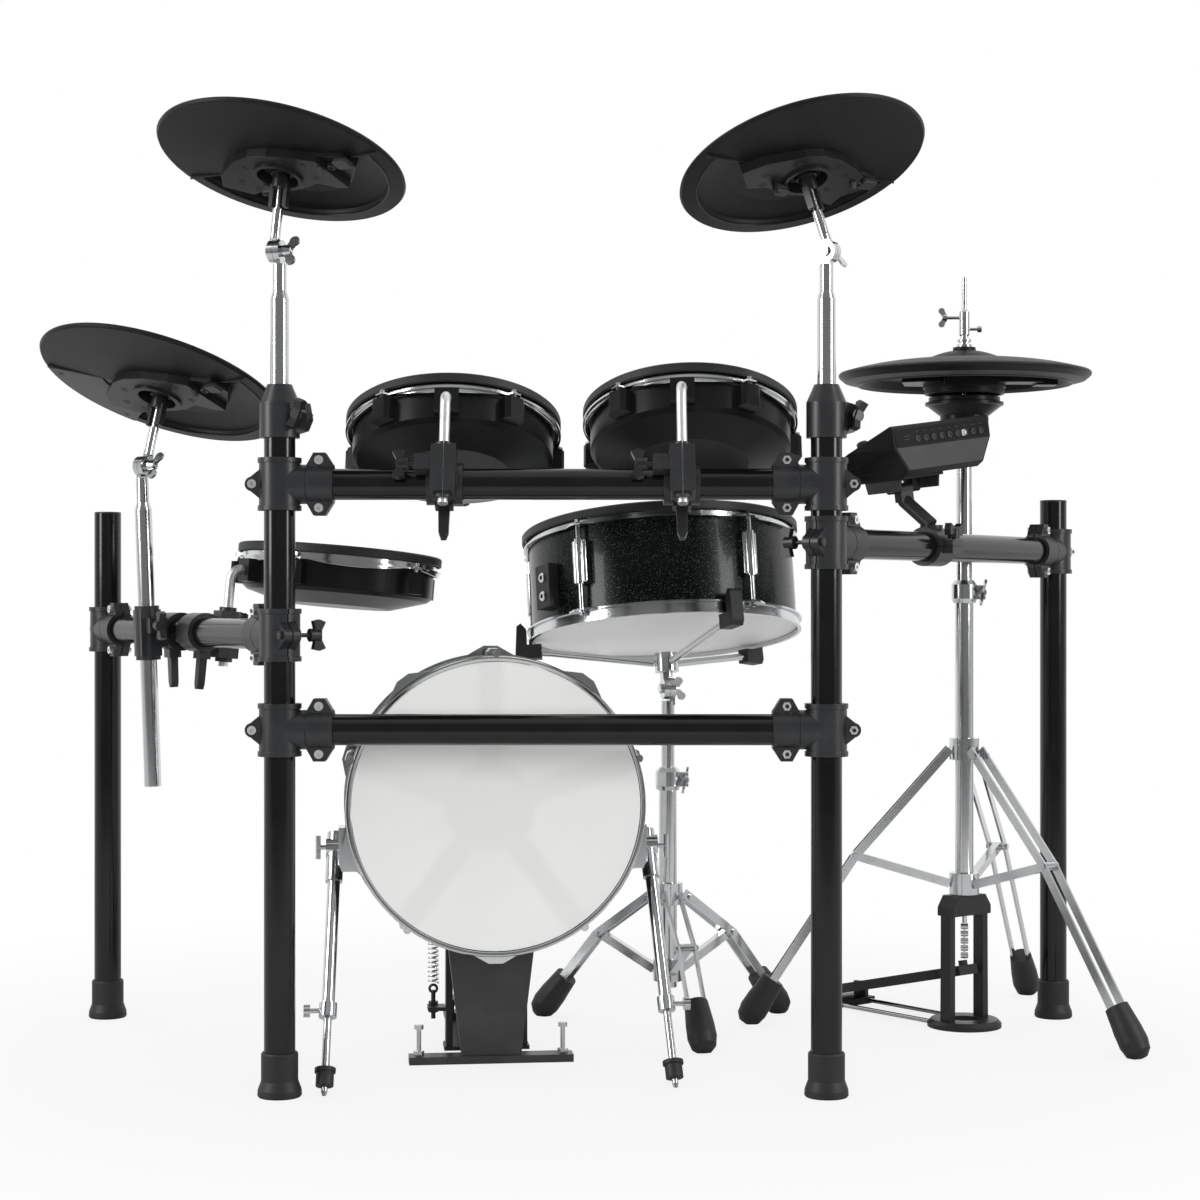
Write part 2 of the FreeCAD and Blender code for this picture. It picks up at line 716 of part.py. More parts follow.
def cymbal_tube(length):
    """Return a cymbal tube with its fixed tilter half, pivot at the origin and x along the pivot."""
    low = -length
    neck = -NECK_LENGTH
    top = -TILTER_R - 2
    bore = CRASH_TUBE_R - CRASH_TUBE_WALL
    stem = spun([(bore, low), (CRASH_TUBE_R, low), (CRASH_TUBE_R, neck), (NECK_R, neck + 10),
                 (NECK_R, top), (0, top),
                 (0, neck - 4), (bore, neck - 8)])
    middle = -TILTER_GAP / 2 - TILTER_THICK / 2
    stem = shifted(stem, middle, 0, 0)
    disc = rod(P(-TILTER_GAP / 2 - TILTER_THICK, 0, 0), P(-TILTER_GAP / 2, 0, 0), TILTER_R)
    link = block(P(middle, 0, top / 2 - 3), (TILTER_THICK, NECK_R * 1.6, -top + 6))
    hole = rod(P(-30, 0, 0), P(30, 0, 0), TILTER_PIN_R + RUN)
    return carved(joined([stem, disc, link]), [hole])


def cymbal_arm():
    """Return the moving tilter half with its rod, rod along z."""
    middle = TILTER_GAP / 2 + TILTER_THICK / 2
    disc = rod(P(TILTER_GAP / 2, 0, 0), P(TILTER_GAP / 2 + TILTER_THICK, 0, 0), TILTER_R)
    base = TILTER_R + 2
    link = block(P(middle, 0, base / 2 + 3), (TILTER_THICK, TILTER_ARM_R * 1.8, base + 6))
    arm = rod(P(middle, 0, base), P(middle, 0, TILTER_ARM), TILTER_ARM_R)
    stud = rod(P(middle, 0, TILTER_ARM - 1), P(middle, 0, ROD_TOP), ROD_R)
    hole = rod(P(-30, 0, 0), P(30, 0, 0), TILTER_PIN_R + RUN)
    return carved(joined([disc, link, arm, stud]), [hole])


def tilter_fittings(turn):
    """Return the pivot bolt, turned about z, and the stopper, felts and wing nut on the tilter arm."""
    middle = TILTER_GAP / 2 + TILTER_THICK / 2
    outer = TILTER_GAP / 2 + TILTER_THICK
    head = rod(P(-outer - FACE_GAP - 4, 0, 0), P(-outer - FACE_GAP, 0, 0), TILTER_PIN_R * 2.2)
    pin = rod(P(-outer - FACE_GAP - 1, 0, 0), P(outer + 4, 0, 0), TILTER_PIN_R)
    lift = outer + FACE_GAP + TILTER_COLLAR
    collar = rod(P(outer + FACE_GAP, 0, 0), P(lift + 1, 0, 0), 7.0)
    nut = put(wing_nut(0, 7.5, 38.0), frame_at(P(lift, 0, 0), P(1, 0, 0), P(0, 0.25, 1)))
    bolt = put(joined([head, pin, collar, nut]), FreeCAD.Placement(P(0, 0, 0), FreeCAD.Rotation(P(0, 0, 1), turn)))
    bore = ROD_R + FIT
    seat = CYMBAL_RISE - SEAT_DEPTH - FELT_GAP
    low = seat - FELT_HEIGHT
    base = low - STOPPER_LENGTH
    parts = [spun([(bore, base), (STOPPER_R, base), (STOPPER_R, low), (bore, low)])]
    for s in (-1, 1):
        x = s * (TILTER_ARM_R + FACE_GAP + PRONG_THICK / 2)
        centre = P(x, 0, base - PRONG_LENGTH / 2 + 3)
        parts.append(block(centre, (PRONG_THICK, PRONG_WIDTH, PRONG_LENGTH + 6)))
    stopper = carved(joined(parts), [rod(P(0, 0, 0), P(0, 0, 200), bore)])
    dome = seat - FELT_DOME
    felt = spun([(bore, low), (FELT_R, low), (FELT_R, dome), (FELT_SEAT_R, seat), (bore, seat)])
    cap = CYMBAL_RISE + BELL_TOP + FELT_GAP
    top = cap + FELT_HEIGHT
    cap_felt = spun([(bore, cap), (FELT_SEAT_R, cap), (FELT_R, cap + FELT_DOME), (FELT_R, top),
                     (bore, top)])
    top_nut = shifted(wing_nut(bore, 7.0, 32.0), 0, 0, top)
    on_rod = [shifted(shape, middle, 0, 0) for shape in (stopper, felt, cap_felt, top_nut)]
    return [bolt] + on_rod


def underside(radius):
    """Return the radius and height pairs of the bow's lower face, centre to lip."""
    return [(0, -4.0), (BELL_R, -4.0), (radius * 0.6, -6.0), (radius - 24, -12.0)]


def cymbal_disc(radius):
    """Return the rubber playing disc."""
    low = underside(radius)[1:]
    lip = [(radius - 22, -16.0), (radius - 19, -18.0), (radius - 2, -17.0), (radius, -14.0),
           (radius - 1, -11.5)]
    bow = ((radius * 0.66, -0.9), (BELL_R + 2, 3.4))
    bell = ((BELL_R - 9, 10.2), (BELL_R - 24, BELL_TOP))
    return bowed([(CYMBAL_HOLE_R, BELL_TOP), (CYMBAL_HOLE_R, -4.0)] + low + lip, [bow, bell])


def cymbal_housing(radius):
    """Return the moulded sensor housing under a cymbal, y towards the player."""
    fractions = [(-0.62, 0.04), (-0.50, -0.12), (-0.22, -0.29), (-0.06, -0.33), (0.12, -0.31),
                 (0.34, -0.22),
                 (0.50, -0.13), (0.68, -0.08), (0.70, 0.10), (0.50, 0.30), (0.40, 0.28), (0.26, 0.17),
                 (0.12, 0.22),
                 (-0.12, 0.22), (-0.26, 0.17), (-0.44, 0.22)]
    plate = prism([(radius * x, radius * y) for x, y in fractions], -HOUSING_DEPTH, 0)
    step = block(P(radius * 0.6, 0, -HOUSING_DEPTH), (radius * 0.22, radius, 16))
    boss = rod(P(0, 0, -HOUSING_DEPTH - 3), P(0, 0, -10), radius * 0.2)
    cover = spun([(BELL_R, -4), (radius * 0.6, -6), (radius - 24.3, -12), (radius - 24.3, -16),
                  (BELL_R + 2, -22)], 180.0)
    cover = put(cover, FreeCAD.Placement(P(0, 0, 0), FreeCAD.Rotation(P(0, 0, 1), 180)))
    body = joined([plate.cut(step), boss, cover])
    above = spun([(r, z - FACE_GAP) for r, z in underside(radius)] + [(radius - 24, 40), (0, 40)])
    seat = rod(P(0, 0, -100), P(0, 0, -SEAT_DEPTH), RECESS_R)
    hole = rod(P(0, 0, -100), P(0, 0, 100), CYMBAL_HOLE_R)
    return carved(body, [above, seat, hole])


def cymbal_frames(pivot, tube_way, lean, hang, side):
    """Return the placements of a cymbal's tube, arm and pad, its axes, and the turn of its pivot bolt."""
    axis = unit(unit(lean).cross(tube_way)) * side
    half = TILTER_GAP / 2 + TILTER_THICK / 2
    centre = pivot.add(axis * half)
    tube = frame_at(centre, tube_way, axis)
    arm = frame_at(centre, lean, axis)
    rock = unit(unit(hang).cross(tube_way))
    pad = frame_at(arm.multVec(P(half, 0, CYMBAL_RISE)), hang, rock)
    turn = 0.0 if side > 0 else 180.0
    return {"tube": tube, "arm": arm, "pad": pad, "axis": axis * side, "rock": rock,
            "tube_way": tube_way, "turn": turn}


def cymbal_places():
    """Return the placements of the three cymbals by name."""
    up = P(0, 0, 1)
    ride = ride_frame()
    tube_way = ride.Rotation.multVec(up)
    ride_pivot = ride.multVec(P(0, RIDE_OFFSET, RIDE_PIVOT_UP))
    left_pivot = P(LEFT_POST_X, 0, CRASH_PIVOT_Z)
    right_pivot = P(RIGHT_POST_X, 0, CRASH_PIVOT_Z)
    return {
        "left_crash": cymbal_frames(left_pivot, up, LEFT_CRASH_LEAN, LEFT_CRASH_HANG, -1),
        "right_crash": cymbal_frames(right_pivot, up, RIGHT_CRASH_LEAN, RIGHT_CRASH_HANG, 1),
        "ride": cymbal_frames(ride_pivot, tube_way, RIDE_LEAN, RIDE_HANG, 1),
    }


def cymbals():
    """Return the nodes of the three cymbals."""
    nodes = {}
    for name, places in cymbal_places().items():
        radius = RIDE_R if name == "ride" else CRASH_R
        length = RIDE_TUBE_LENGTH if name == "ride" else CRASH_TUBE_LENGTH
        fittings = tilter_fittings(places["turn"])
        nodes[name + "_tube"] = [put(cymbal_tube(length), places["tube"])]
        nodes[name + "_tilter"] = [put(shape, places["arm"]) for shape in [cymbal_arm()] + fittings]
        nodes[name + "_pad"] = [put(cymbal_disc(radius), places["pad"]),
                                put(cymbal_housing(radius), places["pad"])]
    return nodes


# Toms

def tom_shell():
    """Return the tom shell with its pan and lugs, y pointing away from its rod."""
    inner = TOM_R - TOM_WALL
    floor = -TOM_HALF - TOM_PAN_DEPTH
    shell = spun([(inner, TOM_HALF), (TOM_R, TOM_HALF), (TOM_R, -TOM_HALF), (TOM_R - 6, -TOM_HALF - 5),
                  (TOM_PAN_R, floor), (0, floor), (0, floor + TOM_WALL), (TOM_PAN_R - 2, floor + TOM_WALL),
                  (inner, -TOM_HALF + 3)])
    lugs = []
    holes = []
    for k in range(TOM_LUGS):
        way = compass(90.0 + 360.0 * k / TOM_LUGS)
        place = frame_at(P(0, 0, 0), P(0, 0, 1), way)
        out = TOM_R + TOM_LUG_OUT
        half = TOM_LUG_WIDTH / 2
        outline = [(inner + 1, -half), (out - 5, -half), (out, -half + 5), (out, half - 5),
                   (out - 5, half), (inner + 1, half)]
        lugs.append(put(prism(outline, -TOM_HALF + 2, TOM_HALF - 3), place))
        spot = way * (TOM_R + SCREW_CIRCLE_OUT)
        holes.append(rod(spot + P(0, 0, -3), spot + P(0, 0, TOM_HALF), LUG_SCREW_R + FIT))
    boss = block(P(0, -TOM_R - 4, 0), (30, 22, 30))
    socket = rod(P(0, -TOM_R - 30, 0), P(0, -TOM_R + 2, 0), L_ROD_R + FIT)
    return carved(joined([shell, boss] + lugs), holes + [socket])


def hoop(radius, low, flange):
    """Return a flanged steel hoop whose lower flange sits at a height."""
    inner = radius + HOOP_GAP
    outer = inner + HOOP_WALL
    top = low + HOOP_HEIGHT
    edge = outer + flange
    return spun([(inner, low), (edge, low), (edge, low + HOOP_WALL), (outer, low + HOOP_WALL),
                 (outer, top - HOOP_WALL),
                 (outer + 2.5, top - HOOP_WALL), (outer + 2.5, top), (inner, top)])


def rim_cover(radius, low):
    """Return the rubber cover over the top edge of a hoop."""
    inner = radius + HOOP_GAP - FIT
    outer = radius + HOOP_GAP + HOOP_WALL + 2.5 + FIT
    edge = low + HOOP_HEIGHT + FIT
    return spun([(inner, edge - RIM_INNER), (inner, edge), (outer, edge), (outer, edge - RIM_COVER),
                 (outer + RIM_THICK - 1, edge - RIM_COVER), (outer + RIM_THICK, edge - RIM_COVER + 1),
                 (outer + RIM_THICK, edge + RIM_THICK - 1), (outer + 1, edge + RIM_THICK + 1),
                 (inner - RIM_THICK + 1.5, edge + RIM_THICK + 1), (inner - RIM_THICK, edge + RIM_THICK - 1),
                 (inner - RIM_THICK, edge - RIM_INNER)])


def tension_screw(low, high):
    """Return one tension screw along z with a square head."""
    shank = rod(P(0, 0, low), P(0, 0, high), LUG_SCREW_R)
    washer = rod(P(0, 0, high - 1), P(0, 0, high + 0.5), LUG_SCREW_R * 1.5)
    head = block(P(0, 0, high + 2.5), (5.5, 5.5, 5))
    return joined([shank, washer, head])


def tom_hoop():
    """Return the tom hoop and its tension screws."""
    low = TOM_HALF + 1
    ring = hoop(TOM_R, low, TOM_HOOP_FLANGE)
    spots = [compass(90.0 + 360.0 * k / TOM_LUGS) * (TOM_R + SCREW_CIRCLE_OUT) for k in range(TOM_LUGS)]
    holes = [rod(spot + P(0, 0, 0), spot + P(0, 0, 60), LUG_SCREW_R + FIT) for spot in spots]
    tabs = []
    for spot in spots:
        way = unit(spot)
        tip = TOM_R + SCREW_CIRCLE_OUT + 6
        tab = prism([(TOM_R + HOOP_GAP + 1, -12), (tip, -6), (tip, 6), (TOM_R + HOOP_GAP + 1, 12)], low,
                    low + HOOP_WALL)
        tabs.append(put(tab, frame_at(P(0, 0, 0), P(0, 0, 1), way)))
    ring = carved(joined([ring] + tabs), holes)
    screws = [shifted(tension_screw(0, low + HOOP_WALL + 1), spot.x, spot.y, 0) for spot in spots]
    return [ring] + screws


def tom_head():
    """Return the mesh head and the rubber rim cover of a tom."""
    low = TOM_HALF + 1
    head = spun([(0, low + 3), (TOM_R + 0.5, low + 3), (TOM_R + 0.5, low + 3 + HEAD_THICK),
                 (0, low + 3 + HEAD_THICK)])
    support = spun([(TOM_R - TOM_WALL, TOM_HALF), (TOM_R + 0.5, TOM_HALF), (TOM_R + 0.5, low + 3),
                    (TOM_R - TOM_WALL, low + 3)])
    return [joined([head, support]), rim_cover(TOM_R, low)]


def l_rod(rise):
    """Return the bent rod of a tom: z up the clamp, y towards the pad, bend at the rise."""
    drop = -L_ROD_BELOW
    bend = L_ROD_BEND
    end = TOM_REACH - TOM_R + 1
    corner = math.sqrt(0.5) * bend
    edges = [Part.makeLine(P(0, 0, drop), P(0, 0, rise - bend))]
    edges.append(Part.Arc(P(0, 0, rise - bend), P(0, bend - corner, rise - bend + corner),
                          P(0, bend, rise)).toShape())
    edges.append(Part.makeLine(P(0, bend, rise), P(0, end, rise)))
    profile = Part.Wire([Part.makeCircle(L_ROD_R, P(0, 0, drop), P(0, 0, 1))])
    return Part.Wire(edges).makePipeShell([profile], True, False).Solids[0]


def tom_frame(bar_point, bar_way, tilt):
    """Return the placement of a tom clamp: x along the bar, z up its rod."""
    up = turned(P(0, 0, 1), bar_way, -tilt)
    return frame_at(bar_point, up, bar_way)


def tom_places():
    """Return the clamp placement, rod side, swing and rise of each tom."""
    start, way = left_arm()
    floor_point = start.add(way * (FLOOR_TOM_AT * LEFT_ARM_LENGTH))
    right = P(1, 0, 0)
    left = tom_frame(P(LEFT_TOM_X, 0, UPPER_BAR_Z), right, LEFT_TOM_TILT)
    middle = tom_frame(P(RIGHT_TOM_X, 0, UPPER_BAR_Z), right, RIGHT_TOM_TILT)
    floor = tom_frame(floor_point, way, FLOOR_TOM_TILT)
    return {
        "left_tom": (left, -1, LEFT_TOM_SWING, LEFT_TOM_RISE),
        "right_tom": (middle, -1, RIGHT_TOM_SWING, RIGHT_TOM_RISE),
        "floor_tom": (floor, -1, 180.0 + FLOOR_TOM_SWING, FLOOR_TOM_RISE),
    }


def toms():
    """Return the nodes of the three tom pads."""
    nodes = {}
    shell = tom_shell()
    hoops = tom_hoop()
    heads = tom_head()
    for name, (place, side, swing, rise) in tom_places().items():
        offset = side * L_ROD_OFFSET
        handles = [bar_clamp(L_ROD_R, offset, -1)] + clamp_handles(offset, -1)
        nodes[name + "_clamp"] = [put(shape, place) for shape in handles]
        spin = FreeCAD.Placement(P(0, offset, 0), FreeCAD.Rotation(P(0, 0, 1), swing))
        rod_place = place.multiply(spin)
        pad_place = rod_place.multiply(FreeCAD.Placement(P(0, TOM_REACH, rise), FreeCAD.Rotation()))
        nodes[name + "_rod"] = [put(l_rod(rise), rod_place)]
        nodes[name + "_shell"] = [put(shell, pad_place)]
        nodes[name + "_hoop"] = [put(shape, pad_place) for shape in hoops]
        nodes[name + "_head"] = [put(shape, pad_place) for shape in heads]
    return nodes


# Stands

def stand_collar(centre, low, bore):
    """Return one collar of a tripod round its tube."""
    return pipe(P(centre.x, centre.y, low), P(centre.x, centre.y, low + COLLAR_LENGTH),
                bore + COLLAR_WALL, bore + FIT)


def tripod(centre, tube_r, reach, azimuths, top, brace):
    """Return the leg bars and collars of a tripod, and its rubber boots."""
    metal = [stand_collar(centre, middle - COLLAR_LENGTH / 2, tube_r) for middle in (top, brace)]
    boots = []
    root = tube_r + COLLAR_WALL
    core = rod(P(centre.x, centre.y, 0), P(centre.x, centre.y, top + 100), root + 0.05)
    for azimuth in azimuths:
        way = compass(azimuth)
        side = P(-way.y, way.x, 0)
        high = centre.add(way * root).add(P(0, 0, top))
        foot = centre.add(way * reach).add(P(0, 0, BOOT_R * 0.8))
        straight = unit(foot.sub(high))
        bow = unit(side.cross(straight)) * -LEG_BOW
        if bow.z < 0:
            bow = bow * -1
        joint = high.add(foot.sub(high) * LEG_KNEE).add(bow)
        along = unit(foot.sub(joint))
        end = foot.sub(along * BOOT_LENGTH * 0.75)
        base = centre.add(way * root).add(P(0, 0, brace))
        for s in (-1, 1):
            off = side * (s * LEG_BAR_GAP / 2)
            upper = flat_bar(high.add(off), joint.add(off), LEG_BAR_WIDTH, LEG_BAR_THICK, side)
            lower = flat_bar(joint.add(off), end.add(off), LEG_BAR_WIDTH, LEG_BAR_THICK, side)
            half = side * (LEG_BAR_THICK / 2)
            knee = rod(joint.add(off).sub(half), joint.add(off).add(half), LEG_BAR_WIDTH / 2)
            metal.append(carved(joined([upper, lower, knee]), [core]))
        inside = side * ((LEG_BAR_GAP - LEG_BAR_THICK - FACE_GAP) / 2)
        boss = rod(joint.sub(inside), joint.add(inside), STRUT_WIDTH / 2)
        strut = flat_bar(base, joint, STRUT_WIDTH, STRUT_THICK, side)
        metal.append(carved(joined([strut, boss]), [core]))
        pin = LEG_BAR_GAP / 2 + LEG_BAR_THICK / 2
        first = unit(joint.sub(high))
        for spot in (high.add(first * 12), joint):
            for s in (-1, 1):
                metal.append(rod(spot.add(side * (s * pin)), spot.add(side * (s * (pin + 3))), 4.5))
        girth = [(0, 0), (0.8, 0), (0.85, 0.13), (0.97, 0.45), (1, 0.7), (0.85, 0.88), (0.5, 0.98), (0, 1)]
        bulb = spun([(r * BOOT_R, z * BOOT_LENGTH) for r, z in girth])
        boot = put(bulb, frame_at(end, along, side))
        under = Part.makeBox(400, 400, 400, P(foot.x - 200, foot.y - 200, -400))
        boots.append(carved(boot, [under]))
    return metal, boots


def snare_spot():
    """Return the floor point of the snare stand."""
    return P(SNARE_X, SNARE_Y, 0)


def hihat_spot():
    """Return the floor point of the hi-hat stand."""
    return P(HIHAT_X, HIHAT_Y, 0)


def height_clamp(centre, top, outer, inner):
    """Return the clamp at the top of a stand tube, split on +X, with its wing bolt."""
    low = P(centre.x, centre.y, top)
    shell = spun([(inner + RUN, 0), (outer + 3, 0), (outer + 5, 6), (outer + 5, 26), (inner + 3, 32),
                  (inner + RUN, 32)])
    ear = block(P(outer + 9, 0, 15), (14, 14, 20))
    slot = block(P(outer + 20, 0, 15), (60, SPLIT, 60))
    bore = rod(P(0, 0, -1), P(0, 0, 40), inner + RUN)
    hole = rod(P(outer + 11, -30, 15), P(outer + 11, 30, 15), TILTER_PIN_R + FIT)
    half_slot = slot.common(block(P(50 + inner, 0, 15), (100, 10, 80)))
    body = carved(joined([shell, ear]), [bore, half_slot, hole])
    screw = rod(P(outer + 11, -8, 15), P(outer + 11, 14, 15), TILTER_PIN_R)
    nut = put(wing_nut(0, 7.0, 36.0), frame_at(P(outer + 11, -7.2, 15), P(0, -1, 0), P(0.2, 0, 1)))
    tail = put(hexagon(NUT_R, 0, 4), frame_at(P(outer + 11, 7, 15), P(0, 1, 0), P(1, 0, 0)))
    bolt = joined([screw, nut, tail])
    return [shifted(body, low.x, low.y, low.z), shifted(bolt, low.x, low.y, low.z)]


def stands():
    """Return the nodes that the hi-hat stand and the snare stand share."""
    hihat = hihat_spot()
    snare = snare_spot()
    hihat_metal, hihat_boots = tripod(hihat, HIHAT_TUBE_R, HIHAT_LEG_REACH, HIHAT_LEG_AZIMUTHS,
                                      HIHAT_LEG_TOP, HIHAT_BRACE_Z)
    snare_metal, snare_boots = tripod(snare, SNARE_TUBE_R, SNARE_LEG_REACH, SNARE_LEG_AZIMUTHS,
                                      SNARE_LEG_TOP, SNARE_BRACE_Z)
    tubes = [pipe(hihat.add(P(0, 0, HIHAT_YOKE_TOP)), hihat.add(P(0, 0, HIHAT_TUBE_TOP)), HIHAT_TUBE_R,
                  HIHAT_TUBE_R - HIHAT_TUBE_WALL)]
    upper_low = HIHAT_TUBE_TOP - 60
    tubes.append(pipe(hihat.add(P(0, 0, upper_low)), hihat.add(P(0, 0, HIHAT_UPPER_TOP)), HIHAT_UPPER_R,
                      HIHAT_UPPER_R - HIHAT_TUBE_WALL))
    tubes.extend(height_clamp(hihat, HIHAT_TUBE_TOP, HIHAT_TUBE_R, HIHAT_UPPER_R))
    tubes.append(pipe(snare.add(P(0, 0, SNARE_BRACE_Z - 24)), snare.add(P(0, 0, SNARE_TUBE_TOP)),
                      SNARE_TUBE_R, SNARE_TUBE_R - HIHAT_TUBE_WALL))
    tubes.extend(height_clamp(snare, SNARE_TUBE_TOP, SNARE_TUBE_R, SNARE_UPPER_R))
    return {
        "stand_tubes": tubes,
        "stand_legs": hihat_metal + snare_metal,
        "rubber_feet": hihat_boots + snare_boots,
    }


# Hi-hat

def hihat_frame():
    """Return the placement at the hi-hat stand, y towards the heel of its pedal."""
    way = compass(HIHAT_PEDAL_AZIMUTH)
    return frame_at(hihat_spot(), P(0, 0, 1), P(way.y, -way.x, 0))


def hihat_base():
    """Return the cast base of the hi-hat stand, y towards the heel."""
    floor = spun([(20, 0), (HIHAT_BASE_R, 0), (HIHAT_BASE_R, 6), (HIHAT_BASE_R - 5, 11), (20, 11)])
    low = 11
    high = HIHAT_YOKE_TOP - 28
    half = HIHAT_YOKE_HALF
    posts = [wall([(s * (half - 5), low), (s * (half + 6), low), (s * (half + 5), high),
                   (s * (half - 5), high)], -9, 9) for s in (-1, 1)]
    head = wall([(-half - 5, high), (half + 5, high), (half + 5, high + 12), (half - 6, high + 28),
                 (-half + 6, high + 28),
                 (-half - 5, high + 12)], -15, 15)
    head = carved(head, [rod(P(0, 0, high - 1), P(0, 0, high + 40), HIHAT_ROD_R + 2)])
    heel = block(P(0, HIHAT_HEEL, 5), (84, 46, 10))
    ears = [block(P(s * 36, HIHAT_HEEL, 20), (7, 24, 20)) for s in (-1, 1)]
    ears = [carved(ear, [rod(P(-60, HIHAT_HEEL, HIHAT_HEEL_Z), P(60, HIHAT_HEEL, HIHAT_HEEL_Z),
                             3 + RUN)]) for ear in ears]
    links = [rod(P(s * 30, HIHAT_BASE_R - 12, 5), P(s * 30, HIHAT_HEEL - 23, 5), 3.2) for s in (-1, 1)]
    links = [carved(link, [floor]) for link in links]
    return [floor, head, heel] + posts + ears + links


def hihat_board():
    """Return the hi-hat footboard about its heel pin at the origin, -y towards the toe."""
    rise = HIHAT_TOE_Z - HIHAT_HEEL_Z
    length = math.hypot(HIHAT_HEEL, rise)
    plate = prism([(-30, 16), (30, 16), (30, -18), (40, -34), (40, -length + 62), (19, -length + 36),
                   (19, -length - 8),
                   (-19, -length - 8), (-19, -length + 36), (-40, -length + 62), (-40, -34), (-30, -18)],
                  -6, 8)
    knuckle = block(P(0, 0, 1), (62, 14, 10))
    pin = rod(P(-42, 0, 0), P(42, 0, 0), 3.0)
    hook = block(P(0, -length, 11), (10, 8, 8))
    board = joined([plate, knuckle, pin, hook])
    tilt = math.degrees(math.atan2(rise, HIHAT_HEEL))
    return put(board, FreeCAD.Placement(P(0, HIHAT_HEEL, HIHAT_HEEL_Z), FreeCAD.Rotation(P(1, 0, 0),
                                                                                         -tilt)))


def hihat_rod():
    """Return the pull rod, its clutch and its chain."""
    pull = rod(P(0, 0, HIHAT_ROD_LOW), P(0, 0, HIHAT_ROD_TOP), HIHAT_ROD_R)
    bore = HIHAT_ROD_R + FIT
    low = HIHAT_PAD_Z + 36
    body = spun([(bore, low - 40), (6, low - 40), (6, low), (11, low), (11, low + 4), (7, low + 5),
                 (7, low + 7), (10, low + 8),
                 (10, low + 11), (6, low + 12), (6, low + 16), (7.6, low + 18), (7.6, low + 50),
                 (bore, low + 54)])
    screw_place = frame_at(P(-7, 0, low + 42), P(-1, 0, 0), P(0, 0, 1))
    stem = put(rod(P(0, 0, 0.5), P(0, 0, 20), 2.4), screw_place)
    wing = put(wing_nut(0, 5.5, 26.0), frame_at(P(-25, 0, low + 42), P(-1, 0, 0), P(0, 0, 1)))
    small = rod(P(7, 0, low + 26), P(22, 0, low + 26), 2.2)
    small_head = rod(P(18, 0, low + 26), P(24, 0, low + 26), 4.5)
    clutch = joined([body, stem, wing, small, small_head])
    clutch = carved(clutch, [rod(P(0, 0, low - 60), P(0, 0, low + 80), bore)])
    links = []
    top = HIHAT_ROD_LOW
    bottom = HIHAT_TOE_Z + 17
    count = 5
    step = (top - bottom) / count
    for k in range(count):
        z = bottom + step * (k + 0.5)
        links.append(rod(P(-5, 0, z), P(5, 0, z), 4.2))
        links.append(block(P(0, 0, z), (3.5, 4, step)))
    chain = joined(links)
    return [pull, clutch, chain]


def hihat_pad():
    """Return the hi-hat pad disc, hub and underside housing about the rod axis."""
    radius = HIHAT_PAD_R
    z = HIHAT_PAD_Z
    lip = radius * 0.83
    bore = 6 + FIT
    rim = [(bore, z + 36), (bore, z + 8), (24, z + 8), (60, z + 5), (lip - 8, z - 4), (lip - 3, z - 14),
           (lip + 2, z - 17), (radius - 8, z - 12), (radius - 1, z - 6), (radius, z - 3), (radius - 2, z)]
    bow = ((radius * 0.7, z + 11.5), (58, z + 17))
    bell = ((38, z + 26), (16, z + 31))
    hub_edge = ((16.1, z + 33.5), (15.6, z + 36))
    disc = bowed(rim, [bow, bell, hub_edge])
    hub = rod(P(0, 0, z - HIHAT_HOUSING), P(0, 0, z), 58.0)
    boxes = [block(P(0, -34, z - 11), (74, 60, HIHAT_HOUSING)), block(P(70, -18, z - 9), (70, 44, 14)),
             block(P(112, -10, z - 10), (30, 36, 18))]
    left = prism([(-92, -30), (-40, -52), (-40, 40), (-80, 34)], z - 16, z)
    low = z - HIHAT_HOUSING
    skirt = spun([(SKIRT_BORE, low - SKIRT_DROP), (SKIRT_R - 1, low - SKIRT_DROP),
                  (SKIRT_R, low - SKIRT_DROP + 1), (SKIRT_R, low + 1), (SKIRT_BORE, low + 1)])
    body = joined([hub, left, skirt] + boxes)
    above = spun([(0, z + 8 - FACE_GAP), (24, z + 8 - FACE_GAP), (60, z + 5 - FACE_GAP),
                  (lip - 8, z - 4 - FACE_GAP), (lip - 8, z + 60), (0, z + 60)])
    return [disc, carved(body, [above, rod(P(0, 0, 0), P(0, 0, 2000), 8.0)])]


def hihat_sensor():
    """Return the pedal controller that sits under the hi-hat pad."""
    bore = HIHAT_ROD_R + FACE_GAP
    low = HIHAT_UPPER_TOP
    top = HIHAT_PAD_Z - HIHAT_HOUSING - HIHAT_TRAVEL - SENSOR_STOP
    return [spun([(bore, low), (24, low), (24, low + 4), (34, low + 8), (34, low + 16), (52, low + 30),
                  (55, low + 31), (55, low + 35),
                  (50, low + 36), (50, top), (bore, top)])]


def hihat():
    """Return the nodes of the hi-hat."""
    place = hihat_frame()
    level = frame_at(hihat_spot(), P(0, 0, 1), P(1, 0, 0))
    return {
        "hihat_base": [put(shape, place) for shape in hihat_base()],
        "hihat_pedal": [put(hihat_board(), place)],
        "hihat_rod": [put(shape, level) for shape in hihat_rod()],
        "hihat_pad": [put(shape, level) for shape in hihat_pad()],
        "hihat_sensor": [put(shape, level) for shape in hihat_sensor()],
    }


# Snare

def snare_frame():
    """Return the placement of the snare drum, z up its axis."""
    centre = P(SNARE_X, SNARE_Y, SNARE_PIVOT_Z).add(unit(SNARE_LEAN) * SNARE_RISE)
    return frame_at(centre, SNARE_LEAN, P(1, 0, 0))


def snare_lug_ways():
    """Return the level direction of each snare lug."""
    return [compass(-54.0 + 360.0 * k / SNARE_LUGS) for k in range(SNARE_LUGS)]


